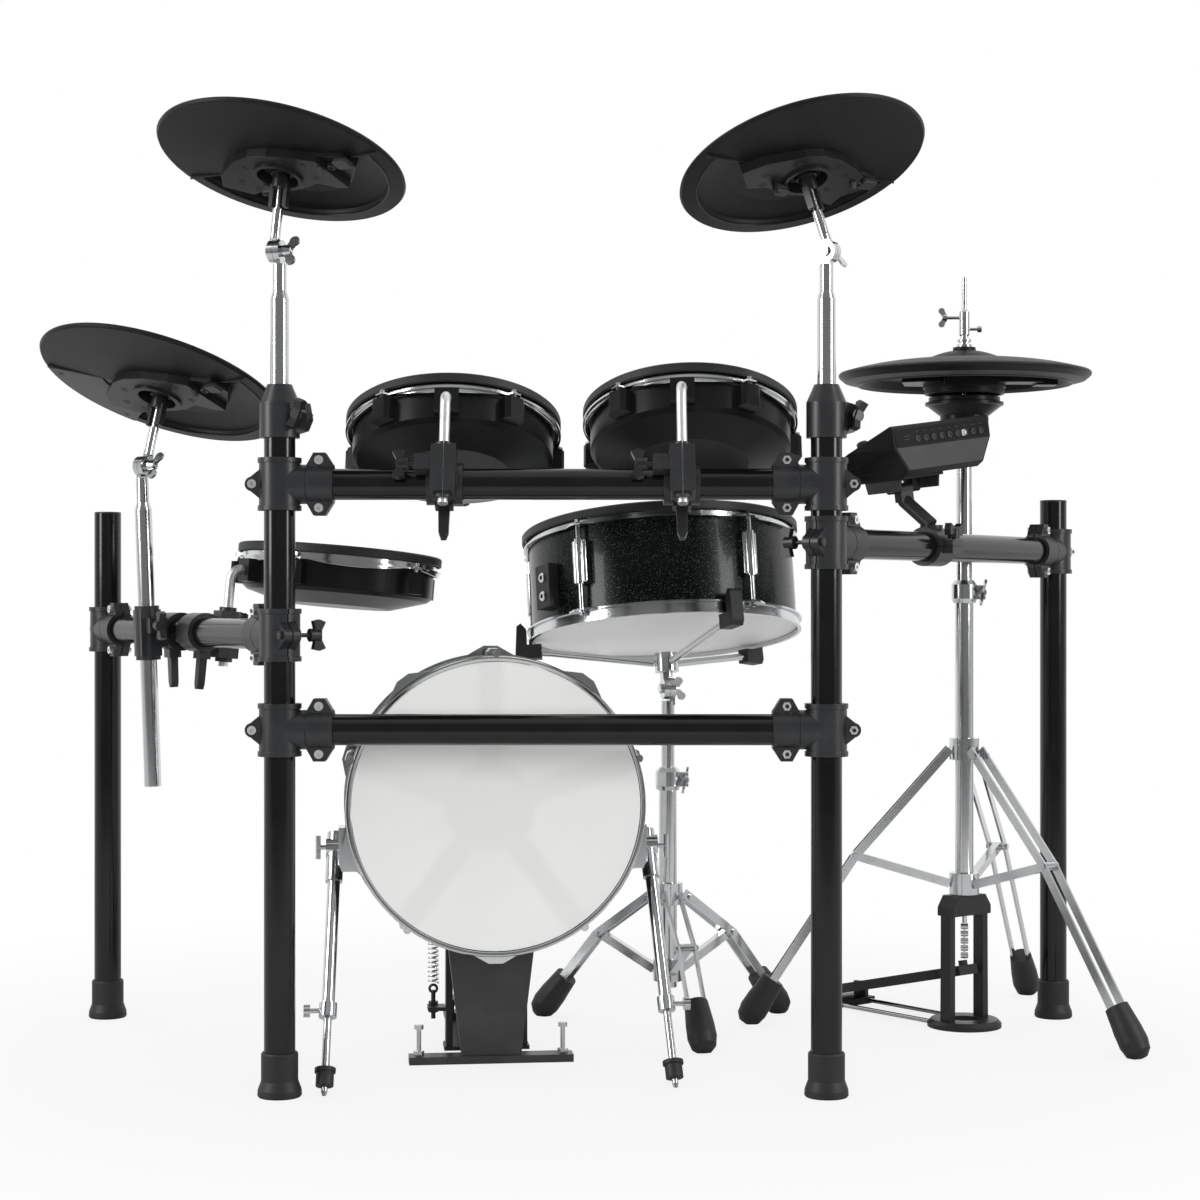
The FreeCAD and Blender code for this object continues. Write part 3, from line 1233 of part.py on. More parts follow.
def snare_hoops():
    """Return the two snare hoops with their tension screws."""
    high = SNARE_HALF - 9
    outer = SNARE_R + HOOP_GAP + HOOP_WALL
    edge = outer + SNARE_HOOP_FLANGE
    tip = edge + SNARE_EAR_OUT
    ear = prism([(outer - 1, -30), (edge, -22), (tip, -8), (tip, 8), (edge, 22), (outer - 1, 30)], high,
                high + HOOP_WALL)
    ears = [put(ear, frame_at(P(0, 0, 0), P(0, 0, 1), way)) for way in snare_lug_ways()]
    upper = joined([hoop(SNARE_R, high, SNARE_HOOP_FLANGE)] + ears)
    flip = FreeCAD.Placement(P(0, 0, 0), FreeCAD.Rotation(P(1, 0, 0), 180))
    hoops = []
    spots = [way * (SNARE_R + SCREW_CIRCLE_OUT) for way in snare_lug_ways()]
    holes = [rod(spot + P(0, 0, -90), spot + P(0, 0, 90), LUG_SCREW_R + FIT) for spot in spots]
    mirror = joined([put(hoop(SNARE_R, high, SNARE_HOOP_FLANGE), flip)]
                    + [shifted(ear, 0, 0, -2 * high - HOOP_WALL) for ear in ears])
    for ring in (upper, mirror):
        hoops.append(carved(ring, holes))
    return hoops


def snare_lug(way):
    """Return one cast lug with three ridges and a tension screw at each end."""
    spot = SNARE_R + SCREW_CIRCLE_OUT
    half = SNARE_LUG_HALF
    side = SNARE_LUG_WIDTH / 2 - SNARE_LUG_SIDE_R
    base = block(P(spot - SCREW_CIRCLE_OUT / 2, 0, 0), (SCREW_CIRCLE_OUT, SNARE_LUG_WIDTH - 3, 2 * half - 4))
    ridges = [rod(P(spot, 0, -half), P(spot, 0, half), SNARE_LUG_R)]
    for y in (-side, side):
        ridges.append(rod(P(spot - 2, y, -half + 3), P(spot - 2, y, half - 3), SNARE_LUG_SIDE_R))
    body = [shifted(shape, 0, 0, SNARE_LUG_UP) for shape in [base] + ridges]
    top = SNARE_HALF - 9 + HOOP_WALL
    screws = []
    for s in (-1, 1):
        screws.append(rod(P(spot, 0, s * (half - 10)), P(spot, 0, s * (top + 1)), LUG_SCREW_R))
        screws.append(rod(P(spot, 0, s * top), P(spot, 0, s * (top + 2)), LUG_SCREW_R * 1.5))
        screws.append(block(P(spot, 0, s * (top + 3.5)), (5, 5, 5)))
    shell = rod(P(0, 0, -100), P(0, 0, 100), SNARE_R + 0.05)
    lug = carved(joined(body + screws), [shell])
    return put(lug, frame_at(P(0, 0, 0), P(0, 0, 1), way))


def snare():
    """Return the nodes of the snare drum."""
    place = snare_frame()
    shell = spun([(SNARE_R - SNARE_WALL, -SNARE_HALF), (SNARE_R, -SNARE_HALF), (SNARE_R, SNARE_HALF),
                  (SNARE_R - SNARE_WALL, SNARE_HALF)])
    box = block(P(SNARE_R + 6, 0, -SNARE_JACK_DROP), (16, 34, 60))
    box = carved(box, [rod(P(0, 0, -100), P(0, 0, 100), SNARE_R + 0.1)])
    box = put(box, frame_at(P(0, 0, 0), P(0, 0, 1), compass(SNARE_JACK_AZIMUTH)))
    low = SNARE_HALF - 9
    heads = []
    for s in (-1, 1):
        z = s * (SNARE_HALF + FIT)
        film = rod(P(0, 0, z), P(0, 0, z + s * HEAD_THICK), SNARE_R + 0.6)
        heads.append(film)
    heads.append(rim_cover(SNARE_R, low))
    return {
        "snare_shell": [put(shape, place) for shape in (shell, box)],
        "snare_hoops": [put(shape, place) for shape in snare_hoops()],
        "snare_heads": [put(shape, place) for shape in heads],
        "snare_lugs": [put(snare_lug(way), place) for way in snare_lug_ways()],
        "snare_basket": snare_basket(),
        "snare_upright": snare_upright(),
    }


def basket_axis():
    """Return the level axis on which the snare basket tilts."""
    return unit(SNARE_LEAN.cross(P(0, 0, 1)))


def basket_frame():
    """Return the placement of the snare basket hub on the stand's tilter pivot."""
    return frame_at(P(SNARE_X, SNARE_Y, SNARE_PIVOT_Z), SNARE_LEAN, basket_axis())


def snare_basket():
    """Return the arms, grips and hub of the snare basket."""
    place = basket_frame()
    axis = basket_axis()
    turn = math.degrees(math.atan2(axis.y, axis.x))
    floor = SNARE_RISE - SNARE_HALF - 8
    hub = rod(P(0, 0, 24), P(0, 0, 50), 17.0)
    stem = rod(P(0, 0, 17), P(0, 0, 30), 8.0)
    disc = rod(P(-TILTER_GAP / 2 - 8, 0, 0), P(-TILTER_GAP / 2, 0, 0), 15.0)
    link = block(P(-TILTER_GAP / 2 - 4, 0, 11), (8, 16, 24))
    hole = rod(P(-40, 0, 0), P(40, 0, 0), TILTER_PIN_R + RUN)
    middle = carved(joined([hub, stem, disc, link]), [hole])
    solids = [middle]
    edge = SNARE_R + HOOP_GAP + HOOP_WALL + SNARE_HOOP_FLANGE + 1.0
    seat = floor + 1 - FACE_GAP
    for azimuth in BASKET_AZIMUTHS:
        way = compass(azimuth - turn)
        start = way * 17.3 + P(0, 0, 37)
        bend = way * (edge - 34) + P(0, 0, seat - 14)
        arm = joined([rod(start, bend, BASKET_ARM_R), Part.makeSphere(BASKET_ARM_R, bend),
                      rod(bend, way * (edge - 14) + P(0, 0, seat - 12), BASKET_ARM_R)])
        inner = edge - 20.0
        profile = [(inner, seat - 21), (edge + GRIP_R + 4, seat - 21), (edge + GRIP_R + 8, seat - 14),
                   (edge + GRIP_R + 5, seat + 26),
                   (edge + GRIP_R - 1, seat + 30), (edge + 1, seat + 22), (edge + 1, seat - 1),
                   (inner, seat - 1)]
        grip = wall(profile, -GRIP_R, GRIP_R)
        grip = put(grip, frame_at(P(0, 0, 0), P(0, 0, 1), way))
        solids.append(carved(arm, [grip, rod(P(0, 0, 0), P(0, 0, 60), 17.05)]))
        solids.append(grip)
    pin = joined([rod(P(-TILTER_GAP / 2 - 12 - FACE_GAP, 0, 0), P(-TILTER_GAP / 2 - 8 - FACE_GAP, 0, 0),
                      6.5),
                  rod(P(-TILTER_GAP / 2 - 10, 0, 0), P(12, 0, 0), TILTER_PIN_R),
                  put(wing_nut(0, 7.0, 34.0), frame_at(P(8.5 + TILTER_GAP / 2, 0, 0), P(1, 0, 0),
                                                       P(0, 0.4, 1)))])
    return [put(shape, place) for shape in solids + [pin]]


def snare_upright():
    """Return the sliding tube of the snare stand with its tilter half."""
    top = -17
    bore = SNARE_UPPER_R - 1.4
    low = SNARE_TUBE_TOP - 120 - SNARE_PIVOT_Z
    tube = spun([(bore, low), (SNARE_UPPER_R, low), (SNARE_UPPER_R, top), (0, top), (0, top - 6),
                 (bore, top - 6)])
    disc = rod(P(TILTER_GAP / 2, 0, 0), P(TILTER_GAP / 2 + 8, 0, 0), 15.0)
    link = block(P(TILTER_GAP / 2 + 4, 0, -11), (8, 16, 24))
    hole = rod(P(-40, 0, 0), P(40, 0, 0), TILTER_PIN_R + RUN)
    body = carved(joined([tube, disc, link]), [hole])
    return [put(body, frame_at(P(SNARE_X, SNARE_Y, SNARE_PIVOT_Z), P(0, 0, 1), basket_axis()))]


# Kick drum

def kick_frame():
    """Return the placement under the kick drum on the floor, y towards the player."""
    return frame_at(P(KICK_X, KICK_Y, 0), P(0, 0, 1), compass(KICK_YAW))


def kick_axis_frame():
    """Return the placement of the kick drum with z along its axis towards the player."""
    return FreeCAD.Placement(P(0, 0, KICK_Z), FreeCAD.Rotation(P(1, 0, 0), -90))


def kick_lug_ways():
    """Return the direction of each kick lug about the drum axis."""
    return [compass(-90.0 + 360.0 * k / KICK_LUGS) for k in range(KICK_LUGS)]


def kick_hoop():
    """Return one kick hoop about z, its outer face at z zero."""
    inner = KICK_R + HOOP_GAP
    outer = inner + HOOP_WALL
    low = -KICK_HOOP_WIDTH
    edge = outer + KICK_HOOP_FLANGE
    step = low + HOOP_WALL + 1
    ring = spun([(inner, low), (edge, low), (edge, step), (outer, step), (outer, -6), (outer + 3, -5),
                 (outer + 4, -3), (outer + 3, -0.8), (outer + 1, 0), (inner + 0.6, -0.4), (inner, -1.5)])
    tip = edge + KICK_EAR_OUT
    ear = prism([(outer, -34), (edge, -26), (tip, -9), (tip, 9), (edge, 26), (outer, 34)], low, step)
    ears = [put(ear, frame_at(P(0, 0, 0), P(0, 0, 1), way)) for way in kick_lug_ways()]
    return carved(joined([ring] + ears), [rod(P(0, 0, low - 1), P(0, 0, 1), inner)])


def kick_lug(way):
    """Return one kick lug on the shell with a tension screw to each hoop, about z."""
    inner = KICK_R + 0.1
    out = KICK_R + KICK_LUG_OUT
    body = prism([(inner - 4, -11), (out - 4, -9), (out, -5), (out, 5), (out - 4, 9), (inner - 4, 11)],
                 -24, 24)
    reach = KICK_HALF - 4
    spot = KICK_R + 9
    screws = []
    for s in (-1, 1):
        screws.append(rod(P(spot, 0, s * 20), P(spot, 0, s * reach), LUG_SCREW_R))
        screws.append(rod(P(spot, 0, s * (reach - 1)), P(spot, 0, s * (reach + 3)), LUG_SCREW_R * 1.6))
    lug = carved(joined([body] + screws), [rod(P(0, 0, -100), P(0, 0, 100), inner)])
    return put(lug, frame_at(P(0, 0, 0), P(0, 0, 1), way))


def kick_star():
    """Return the trigger star inside the kick drum about z."""
    hub = rod(P(0, 0, STAR_Y), P(0, 0, STAR_Y + 14), STAR_HUB_R)
    inside = KICK_R - KICK_WALL - FIT
    arms = [put(block(P(inside / 2, 0, STAR_Y + 5), (inside + 10, STAR_ARM_WIDTH, 8)),
                frame_at(P(0, 0, 0), P(0, 0, 1), way))
            for way in kick_lug_ways()]
    body = joined([hub] + arms)
    star = body.common(rod(P(0, 0, -100), P(0, 0, 100), inside)).Solids[0]
    foam = Part.makeCone(40.0, 22.0, KICK_HALF - STAR_Y - 15.0, P(0, 0, STAR_Y + 14))
    return [star, foam]


def spur_ends(side):
    """Return the bracket point, collar point and floor point of a kick spur."""
    top = P(side * (KICK_R + SPUR_OUT + 6), 6, KICK_Z - SPUR_DROP)
    foot = P(side * (KICK_R + SPUR_OUT + 6 + SPUR_SPREAD), 6 - SPUR_REACH, 0)
    return top, top.add(foot.sub(top) * 0.64), foot


def kick_spurs():
    """Return the two kick legs: brackets, tubes, collars, rods and spikes, and their rubber feet."""
    metal = []
    rubber = []
    for side in (-1, 1):
        top, middle, foot = spur_ends(side)
        along = unit(foot.sub(top))
        plate = block(P(side * (KICK_R + 2), 6, KICK_Z - SPUR_DROP), (28, 44, 56))
        plate = carved(plate, [rod(P(0, -200, KICK_Z), P(0, 200, KICK_Z), KICK_R + 0.1)])
        metal.append(plate)
        knuckle = rod(top.sub(P(side * 9.7, 0, 0)), top.add(P(side * 12, 0, 0)), 13.0)
        tube = rod(top, middle, SPUR_TUBE_R)
        sleeve = rod(top.sub(along * 20), top.add(along * 46), SPUR_TUBE_R + 3)
        metal.append(carved(joined([knuckle, tube, sleeve]), [plate]))
        collar = rod(middle, middle.add(along * 18), SPUR_TUBE_R + 3)
        screw = rod(middle.add(along * 9), middle.add(along * 9).add(P(side * 24, 0, 0)), 3.0)
        knob = rod(middle.add(along * 9).add(P(side * 22, 0, 0)), middle.add(along * 9).add(P(side * 30,
                                                                                              0, 0)), 8.0)
        metal.append(joined([collar, screw, knob]))
        start = middle.add(along * 18)
        boot_top = foot.sub(along * 34)
        metal.append(rod(start, boot_top, SPUR_ROD_R))
        boot_low = foot.sub(along * 12)
        boot = joined([rod(boot_top, boot_low, 11.0), rod(boot_top, boot_top.add(along * 5), 13.0)])
        rubber.append(boot)
        spike = joined([rod(boot_low, foot.sub(along * 5), 4.0), Part.makeCone(4.0, 1.2, 9.0,
                                                                               foot.sub(along * 5), along)])
        under = Part.makeBox(200, 200, 100, P(foot.x - 100, foot.y - 100, -100))
        metal.append(carved(spike, [under]))
    return metal, rubber


def kick_riser():
    """Return the folded steel riser under the kick drum."""
    top = KICK_Z - KICK_R + 40
    low = RISER_FOOT_THICK
    half = RISER_WIDTH / 2
    wide = RISER_TOP_WIDTH / 2
    web = wall([(-half, low), (half, low), (wide, top), (-wide, top)], RISER_FRONT + 6,
               RISER_FRONT + 6 + SHEET)
    front = RISER_FRONT + 6
    back = front + RISER_DEPTH
    flanges = [wall([(s * half, low), (s * (half - SHEET), low), (s * (wide - SHEET), top),
                     (s * wide, top)], front, back) for s in (-1, 1)]
    shell = rod(P(0, -300, KICK_Z), P(0, 300, KICK_Z), KICK_R + 0.1)
    foot = block(P(0, RISER_FRONT + 15, low / 2), (RISER_FOOT_WIDTH, 30, low))
    tail_start = RISER_FRONT + 28
    tail_end = PEDAL_FRONT + 24
    tail = block(P(0, (tail_start + tail_end) / 2, 2), (60, tail_end - tail_start, 4))
    saddle = pipe(P(0, front, KICK_Z), P(0, back, KICK_Z), KICK_R + SHEET, KICK_R + 0.1)
    saddle = saddle.common(block(P(0, front, KICK_Z - KICK_R), (RISER_TOP_WIDTH - 8, 100, 60)))
    body = carved(joined([web] + flanges + [saddle, foot, tail]), [shell])
    holes = [rod(P(s * (RISER_FOOT_WIDTH / 2 - 13), RISER_FRONT + 15, -1),
                 P(s * (RISER_FOOT_WIDTH / 2 - 13), RISER_FRONT + 15, 40), 3 + FIT) for s in (-1, 1)]
    return carved(body, holes)


def riser_bolts():
    """Return the two spur bolts at the ends of the riser foot."""
    bolts = []
    for s in (-1, 1):
        x = s * (RISER_FOOT_WIDTH / 2 - 13)
        y = RISER_FRONT + 15
        shank = rod(P(x, y, 1), P(x, y, 46), 3.0)
        nut = shifted(hexagon(7.0, 0, 6), x, y, RISER_FOOT_THICK)
        head = shifted(hexagon(6.0, 0, 6), x, y, 44)
        bolts.append(joined([shank, nut, head]))
    return bolts


def pedal_base():
    """Return the kick pedal's plate, posts and brackets."""
    near = PEDAL_FRONT
    far = PEDAL_FRONT + PEDAL_LENGTH
    half = PEDAL_WIDTH / 2
    plate = prism([(-half - 12, near + 28), (half + 12, near + 28), (half + 12, near + 70),
                   (half, near + 96), (half, far), (-half, far),
                   (-half, near + 96), (-half - 12, near + 70)], 0, PEDAL_PLATE)
    posts = []
    for s in (-1, 1):
        x = s * PEDAL_POST_HALF
        thick = PEDAL_POST_THICK / 2
        outline = [(PEDAL_POST_Y - 16, PEDAL_PLATE), (PEDAL_POST_Y + 18, PEDAL_PLATE),
                   (PEDAL_POST_Y + 9, AXLE_Z - 8),
                   (PEDAL_POST_Y + 9, AXLE_Z + 10), (PEDAL_POST_Y - 9, AXLE_Z + 10),
                   (PEDAL_POST_Y - 9, AXLE_Z - 8)]
        ring = [P(x - thick, y, z) for y, z in outline]
        post = Part.Face(Part.makePolygon(ring + ring[:1])).extrude(P(2 * thick, 0, 0))
        posts.append(carved(post, [rod(P(-90, PEDAL_POST_Y, AXLE_Z), P(90, PEDAL_POST_Y, AXLE_Z),
                                       AXLE_R + RUN)]))
    shelf_y = PEDAL_POST_Y + SPRING_ARM
    shelf = block(P((SPRING_X - PEDAL_POST_HALF - PEDAL_POST_THICK / 2) / 2 - 4, shelf_y - 8, 52),
                  (SPRING_X * -1 - PEDAL_POST_HALF - PEDAL_POST_THICK / 2 + 8, 30, 5))
    shelf = carved(shelf, [rod(P(SPRING_X, shelf_y, 0), P(SPRING_X, shelf_y, 100), 3 + FIT)])
    eye = rod(P(SPRING_X, shelf_y, 36), P(SPRING_X, shelf_y, SPRING_LOW - SPRING_R - 3), 3.0)
    nuts = [shifted(hexagon(6.5, 0, 5), SPRING_X, shelf_y, z) for z in (44.5, 54.5)]
    loop = Part.makeTorus(5.0, 1.8, P(SPRING_X, shelf_y, SPRING_LOW - SPRING_R - 1), P(0, 1, 0))
    bolt = joined([eye, loop] + nuts)
    heel_y = heel_line()
    heel = block(P(0, heel_y, PEDAL_PLATE + 4), (PEDAL_WIDTH - 8, 30, 8))
    ears = []
    for s in (-1, 1):
        ear = block(P(s * (BOARD_WIDTH / 2 - 2), heel_y, (PEDAL_PLATE + 8 + HEEL_Z + 8) / 2),
                    (7, 18, HEEL_Z - PEDAL_PLATE))
        ears.append(carved(ear, [rod(P(-90, heel_y, HEEL_Z), P(90, heel_y, HEEL_Z), 3 + RUN)]))
    jaw = block(P(0, PEDAL_FRONT + 16, 10.5), (56, 20, 13))
    neck = block(P(0, PEDAL_FRONT + 27.5, 7), (40, 3, 4))
    return [plate, jaw, heel, shelf, bolt] + posts + ears + [neck]


def heel_line():
    """Return the y of the pedal's heel hinge."""
    return PEDAL_POST_Y - CHAIN_LINE + BOARD_LENGTH


def pedal_board():
    """Return the kick footboard with its drive chain."""
    rise = TOE_Z - HEEL_Z
    length = math.hypot(BOARD_LENGTH, rise)
    half = BOARD_WIDTH / 2
    plate = prism([(-half + 9, 14), (half - 9, 14), (half - 9, -16), (half, -30), (half, -length + 40),
                   (half - 14, -length - 10),
                   (-half + 14, -length - 10), (-half, -length + 40), (-half, -30), (-half + 9, -16)], 3,
                  3 + BOARD_THICK)
    knuckle = block(P(0, 0, 2), (BOARD_WIDTH - 14, 14, 10))
    pin = rod(P(-half - 2, 0, 0), P(half + 2, 0, 0), 3.0)
    board = joined([plate, knuckle, pin])
    tilt = math.degrees(math.atan2(rise, BOARD_LENGTH))
    board = put(board, FreeCAD.Placement(P(0, heel_line(), HEEL_Z), FreeCAD.Rotation(P(1, 0, 0), -tilt)))
    y = PEDAL_POST_Y - CHAIN_LINE
    low = TOE_Z + 12
    count = 8
    step = (AXLE_Z - 1 - low) / count
    links = []
    for k in range(count):
        z = low + step * (k + 0.5)
        links.append(rod(P(-5, y, z), P(5, y, z), 3.6))
        links.append(block(P(0, y, z), (4, 4, step)))
    anchor = block(P(0, y + 2, TOE_Z + 11), (16, 14, 8))
    chain = joined(links + [anchor])
    return [board.cut(chain).Solids[0], chain]


def pedal_beater():
    """Return the axle, sprocket, beater and spring arm of the kick pedal."""
    y = PEDAL_POST_Y
    axle = rod(P(SPRING_X - 3, y, AXLE_Z), P(PEDAL_POST_HALF + PEDAL_POST_THICK / 2 + 6, y, AXLE_Z), AXLE_R)
    sprocket = rod(P(-6, y, AXLE_Z), P(6, y, AXLE_Z), SPROCKET_R)
    hub = rod(P(-16, y, AXLE_Z), P(16, y, AXLE_Z), 13.0)
    lean = math.radians(BEATER_REST)
    way = P(0, math.sin(lean), math.cos(lean))
    tip = P(0, y, AXLE_Z).add(way * BEATER_LENGTH)
    shaft = rod(P(0, y, AXLE_Z), tip.add(way * 16), 4.5)
    face = P(0, -way.z, way.y)
    felt = rod(tip.add(face * (BEATER_DEPTH / 2)), tip.sub(face * (BEATER_DEPTH / 2)), BEATER_R)
    felt = carved(felt, [rod(P(0, y, AXLE_Z), tip.add(way * 60), 4.5 + FIT)])
    arm = flat_bar(P(SPRING_X + 5, y - 8, AXLE_Z), P(SPRING_X + 5, y + SPRING_ARM + 6, AXLE_Z), 12, 5,
                   P(1, 0, 0))
    hook = rod(P(SPRING_X + 6, y + SPRING_ARM, AXLE_Z), P(SPRING_X - 4, y + SPRING_ARM, AXLE_Z), 2.5)
    cap_low = AXLE_Z - SPRING_TOP_DROP + SPRING_WIRE + FACE_GAP
    cap = rod(P(SPRING_X, y + SPRING_ARM, cap_low), P(SPRING_X, y + SPRING_ARM, cap_low + 3), SPRING_R)
    drop = rod(P(SPRING_X, y + SPRING_ARM, cap_low), P(SPRING_X, y + SPRING_ARM, AXLE_Z), 2.0)
    return [joined([axle, sprocket, hub, shaft, arm, hook, cap, drop]), felt]


def arc_end(start, tangent, end):
    """Return the arc that leaves a start along a tangent and reaches an end."""
    chord = end.sub(start)
    side = chord.sub(tangent * chord.dot(tangent))
    reach = side.Length
    radius = chord.Length ** 2 / (2 * reach)
    centre = start.add(unit(side) * radius)
    middle = start.add(end) * 0.5
    through = centre.add(unit(middle.sub(centre)) * radius)
    return Part.Arc(start, through, end).toShape()


def spring_point(turn, low, pitch):
    """Return the point and the tangent of the spring's centre line at a turn count."""
    angle = 2 * math.pi * turn
    point = P(SPRING_R * math.cos(angle), SPRING_R * math.sin(angle), low + pitch * turn)
    slope = pitch / (2 * math.pi)
    return point, unit(P(-SPRING_R * math.sin(angle), SPRING_R * math.cos(angle), slope))


def spring_edges(low, high):
    """Return the biarcs of quarter turns along the spring's centre line."""
    pitch = (high - low) / SPRING_TURNS
    edges = []
    for k in range(4 * SPRING_TURNS):
        start, leave = spring_point(k / 4, low, pitch)
        end, arrive = spring_point((k + 1) / 4, low, pitch)
        gap = end.sub(start)
        a = 2 * (leave.dot(arrive) - 1)
        b = -2 * gap.dot(leave.add(arrive))
        c = gap.dot(gap)
        step = (-b - math.sqrt(b * b - 4 * a * c)) / (2 * a)
        if step < 0:
            step = (-b + math.sqrt(b * b - 4 * a * c)) / (2 * a)
        knee = (start.add(leave * step).add(end.sub(arrive * step))) * 0.5
        edges.append(arc_end(start, leave, knee))
        edges.append(arc_end(end, arrive * -1, knee))
    return edges


def spring_self_gap(low, high):
    """Return the least gap of the spring's wire to its other turns, measured on points."""
    pitch = (high - low) / SPRING_TURNS
    count = 48
    points = [spring_point(k / count, low, pitch)[0] for k in range(count * SPRING_TURNS + 1)]
    least = pitch * 10
    for i in range(len(points)):
        for j in range(i + count // 2, len(points)):
            least = min(least, points[i].distanceToPoint(points[j]))
    return least - 2 * SPRING_WIRE


def pedal_spring():
    """Return the wound return spring of the kick pedal."""
    high = AXLE_Z - SPRING_TOP_DROP
    edges = spring_edges(SPRING_LOW, high)
    start, leave = spring_point(0, SPRING_LOW, (high - SPRING_LOW) / SPRING_TURNS)
    profile = Part.Wire([Part.makeCircle(SPRING_WIRE, start, leave)])
    path = Part.Wire(Part.sortEdges(edges)[0])
    coil = path.makePipeShell([profile], True, False)
    print("spring gap to itself", round(spring_self_gap(SPRING_LOW, high), 2))
    return [shifted(coil.Solids[0], SPRING_X, PEDAL_POST_Y + SPRING_ARM, 0)]


def kick():
    """Return the nodes of the kick drum and its pedal."""
    floor = kick_frame()
    drum = floor.multiply(kick_axis_frame())
    inner = KICK_R - KICK_WALL
    shell = spun([(inner, -KICK_HALF), (KICK_R, -KICK_HALF), (KICK_R, KICK_HALF), (inner, KICK_HALF)])
    hoop_front = put(kick_hoop(), FreeCAD.Placement(P(0, 0, -KICK_HALF - 6),
                                                    FreeCAD.Rotation(P(1, 0, 0), 180)))
    hoop_rear = shifted(kick_hoop(), 0, 0, KICK_HALF + 6)
    reach = KICK_R + 9
    holes = [rod(way * reach + P(0, 0, -100), way * reach + P(0, 0, 100),
                 LUG_SCREW_R + FIT) for way in kick_lug_ways()]
    hoops = [carved(ring, holes) for ring in (hoop_front, hoop_rear)]
    heads = [rod(P(0, 0, s * (KICK_HALF + FIT)), P(0, 0, s * (KICK_HALF + FIT + HEAD_THICK)),
                 KICK_R + 0.6) for s in (-1, 1)]
    metal, rubber = kick_spurs()
    return {
        "kick_shell": [put(shell, drum)],
        "kick_hoops": [put(shape, drum) for shape in hoops],
        "kick_heads": [put(shape, drum) for shape in heads],
        "kick_lugs": [put(kick_lug(way), drum) for way in kick_lug_ways()],
        "kick_star": [put(shape, drum) for shape in kick_star()],
        "kick_legs": [put(shape, floor) for shape in metal],
        "rubber_feet": [put(shape, floor) for shape in rubber],
        "kick_riser": [put(kick_riser(), floor)] + [put(shape, floor) for shape in riser_bolts()],
        "pedal_base": [put(shape, floor) for shape in pedal_base()],
        "pedal_footboard": [put(shape, floor) for shape in pedal_board()],
        "pedal_beater": [put(shape, floor) for shape in pedal_beater()],
        "pedal_spring": [put(shape, floor) for shape in pedal_spring()],
    }


# Sound module

def module_frame():
    """Return the placement of the module: x along its width, y down its panel, z out of the panel."""
    facing = compass(MODULE_FACING)
    width = turned(P(facing.y, -facing.x, 0), facing, -MODULE_ROLL)
    upright = turned(P(0, 0, 1), facing, -MODULE_ROLL)
    normal = turned(upright, width, -MODULE_PITCH)
    return frame_at(P(MODULE_X, MODULE_Y, MODULE_Z), normal, width)


def module_case():
    """Return the wedge case with its control wells."""
    half = MODULE_DEPTH / 2
    rear = MODULE_REAR / 2
    front = -rear + MODULE_FRONT
    outline = [(-half, -rear + 6), (-half + 8, -rear), (half - 10, -rear), (half, -rear + 8),
               (half, front - 5), (half - 6, front),
               (-half + 4, rear), (-half, rear - 4)]
    ring = [P(-MODULE_WIDTH / 2, y, z) for y, z in outline]
    case = Part.Face(Part.makePolygon(ring + ring[:1])).extrude(P(MODULE_WIDTH, 0, 0))
    side = MODULE_WIDTH / 2
    knee = rear - MODULE_STRIP
    cuts = [wall([(s * side, knee), (s * (side - MODULE_TAPER), -rear), (s * (side - MODULE_TAPER),
                                                                         -rear - 1),
                  (s * (side + 1), -rear - 1), (s * (side + 1), knee)], -MODULE_DEPTH,
                 MODULE_DEPTH) for s in (-1, 1)]
    case = carved(case, cuts)
    wells = [put(tool, panel_frame(x, y)) for tool, x, y in control_wells()]
    middle = hinge_point()
    plate = block(P(middle.x, 0, -rear - MODULE_PLATE / 2 + 0.5), (70, 84, MODULE_PLATE + 1))
    barrel = rod(middle.add(P(-26, 0, 0)), middle.add(P(26, 0, 0)), 6.0)
    web = block(middle.add(P(0, 0, MODULE_HINGE_DROP / 2)), (52, 12, MODULE_HINGE_DROP))
    gap = block(middle.add(P(0, 0, -2)), (24, 40, 2 * MODULE_HINGE_DROP + 4 - 2 * FACE_GAP))
    pin = rod(middle.add(P(-40, 0, 0)), middle.add(P(40, 0, 0)), 3 + RUN)
    hinge = joined([barrel, web]).cut([gap, pin])
    body = carved(case, wells)
    return joined([body, plate] + hinge.Solids)


def hinge_point():
    """Return the middle of the module's tilt hinge in the module's frame."""
    return P(MODULE_HINGE_X, 0, -MODULE_REAR / 2 - MODULE_PLATE - MODULE_HINGE_DROP)


def panel_slope():
    """Return the slope of the top panel across the depth, in degrees."""
    front = -MODULE_REAR / 2 + MODULE_FRONT
    return math.degrees(math.atan2(MODULE_REAR / 2 - front, MODULE_DEPTH - 10))


def panel_frame(x, y):
    """Return the placement of a control on the sloped panel."""
    height = MODULE_REAR / 2 - (y + MODULE_DEPTH / 2 - 4) * math.tan(math.radians(panel_slope()))
    return FreeCAD.Placement(P(x, y, height), FreeCAD.Rotation(P(1, 0, 0), -panel_slope()))


def control_spots():
    """Return the panel position of each control by name."""
    return {
        "module_dial": (48.0, 8.0),
        "module_volume": (-62.0, 28.0),
        "module_start_button": (-26.0, 34.0),
        "module_menu_button": (2.0, 34.0),
    }


def control_wells():
    """Return the cutting tool and the panel position of each control."""
    spots = control_spots()
    tools = []
    for name, (x, y) in spots.items():
        if name.endswith("button"):
            size = BUTTON_WIDTH + 2 * FACE_GAP
            tools.append((block(P(0, 0, -1.5), (size, size * 0.7, 7)), x, y))
        else:
            radius = DIAL_R if name == "module_dial" else VOLUME_R
            tools.append((rod(P(0, 0, -4), P(0, 0, 20), radius * 0.3 + RUN), x, y))
    return tools


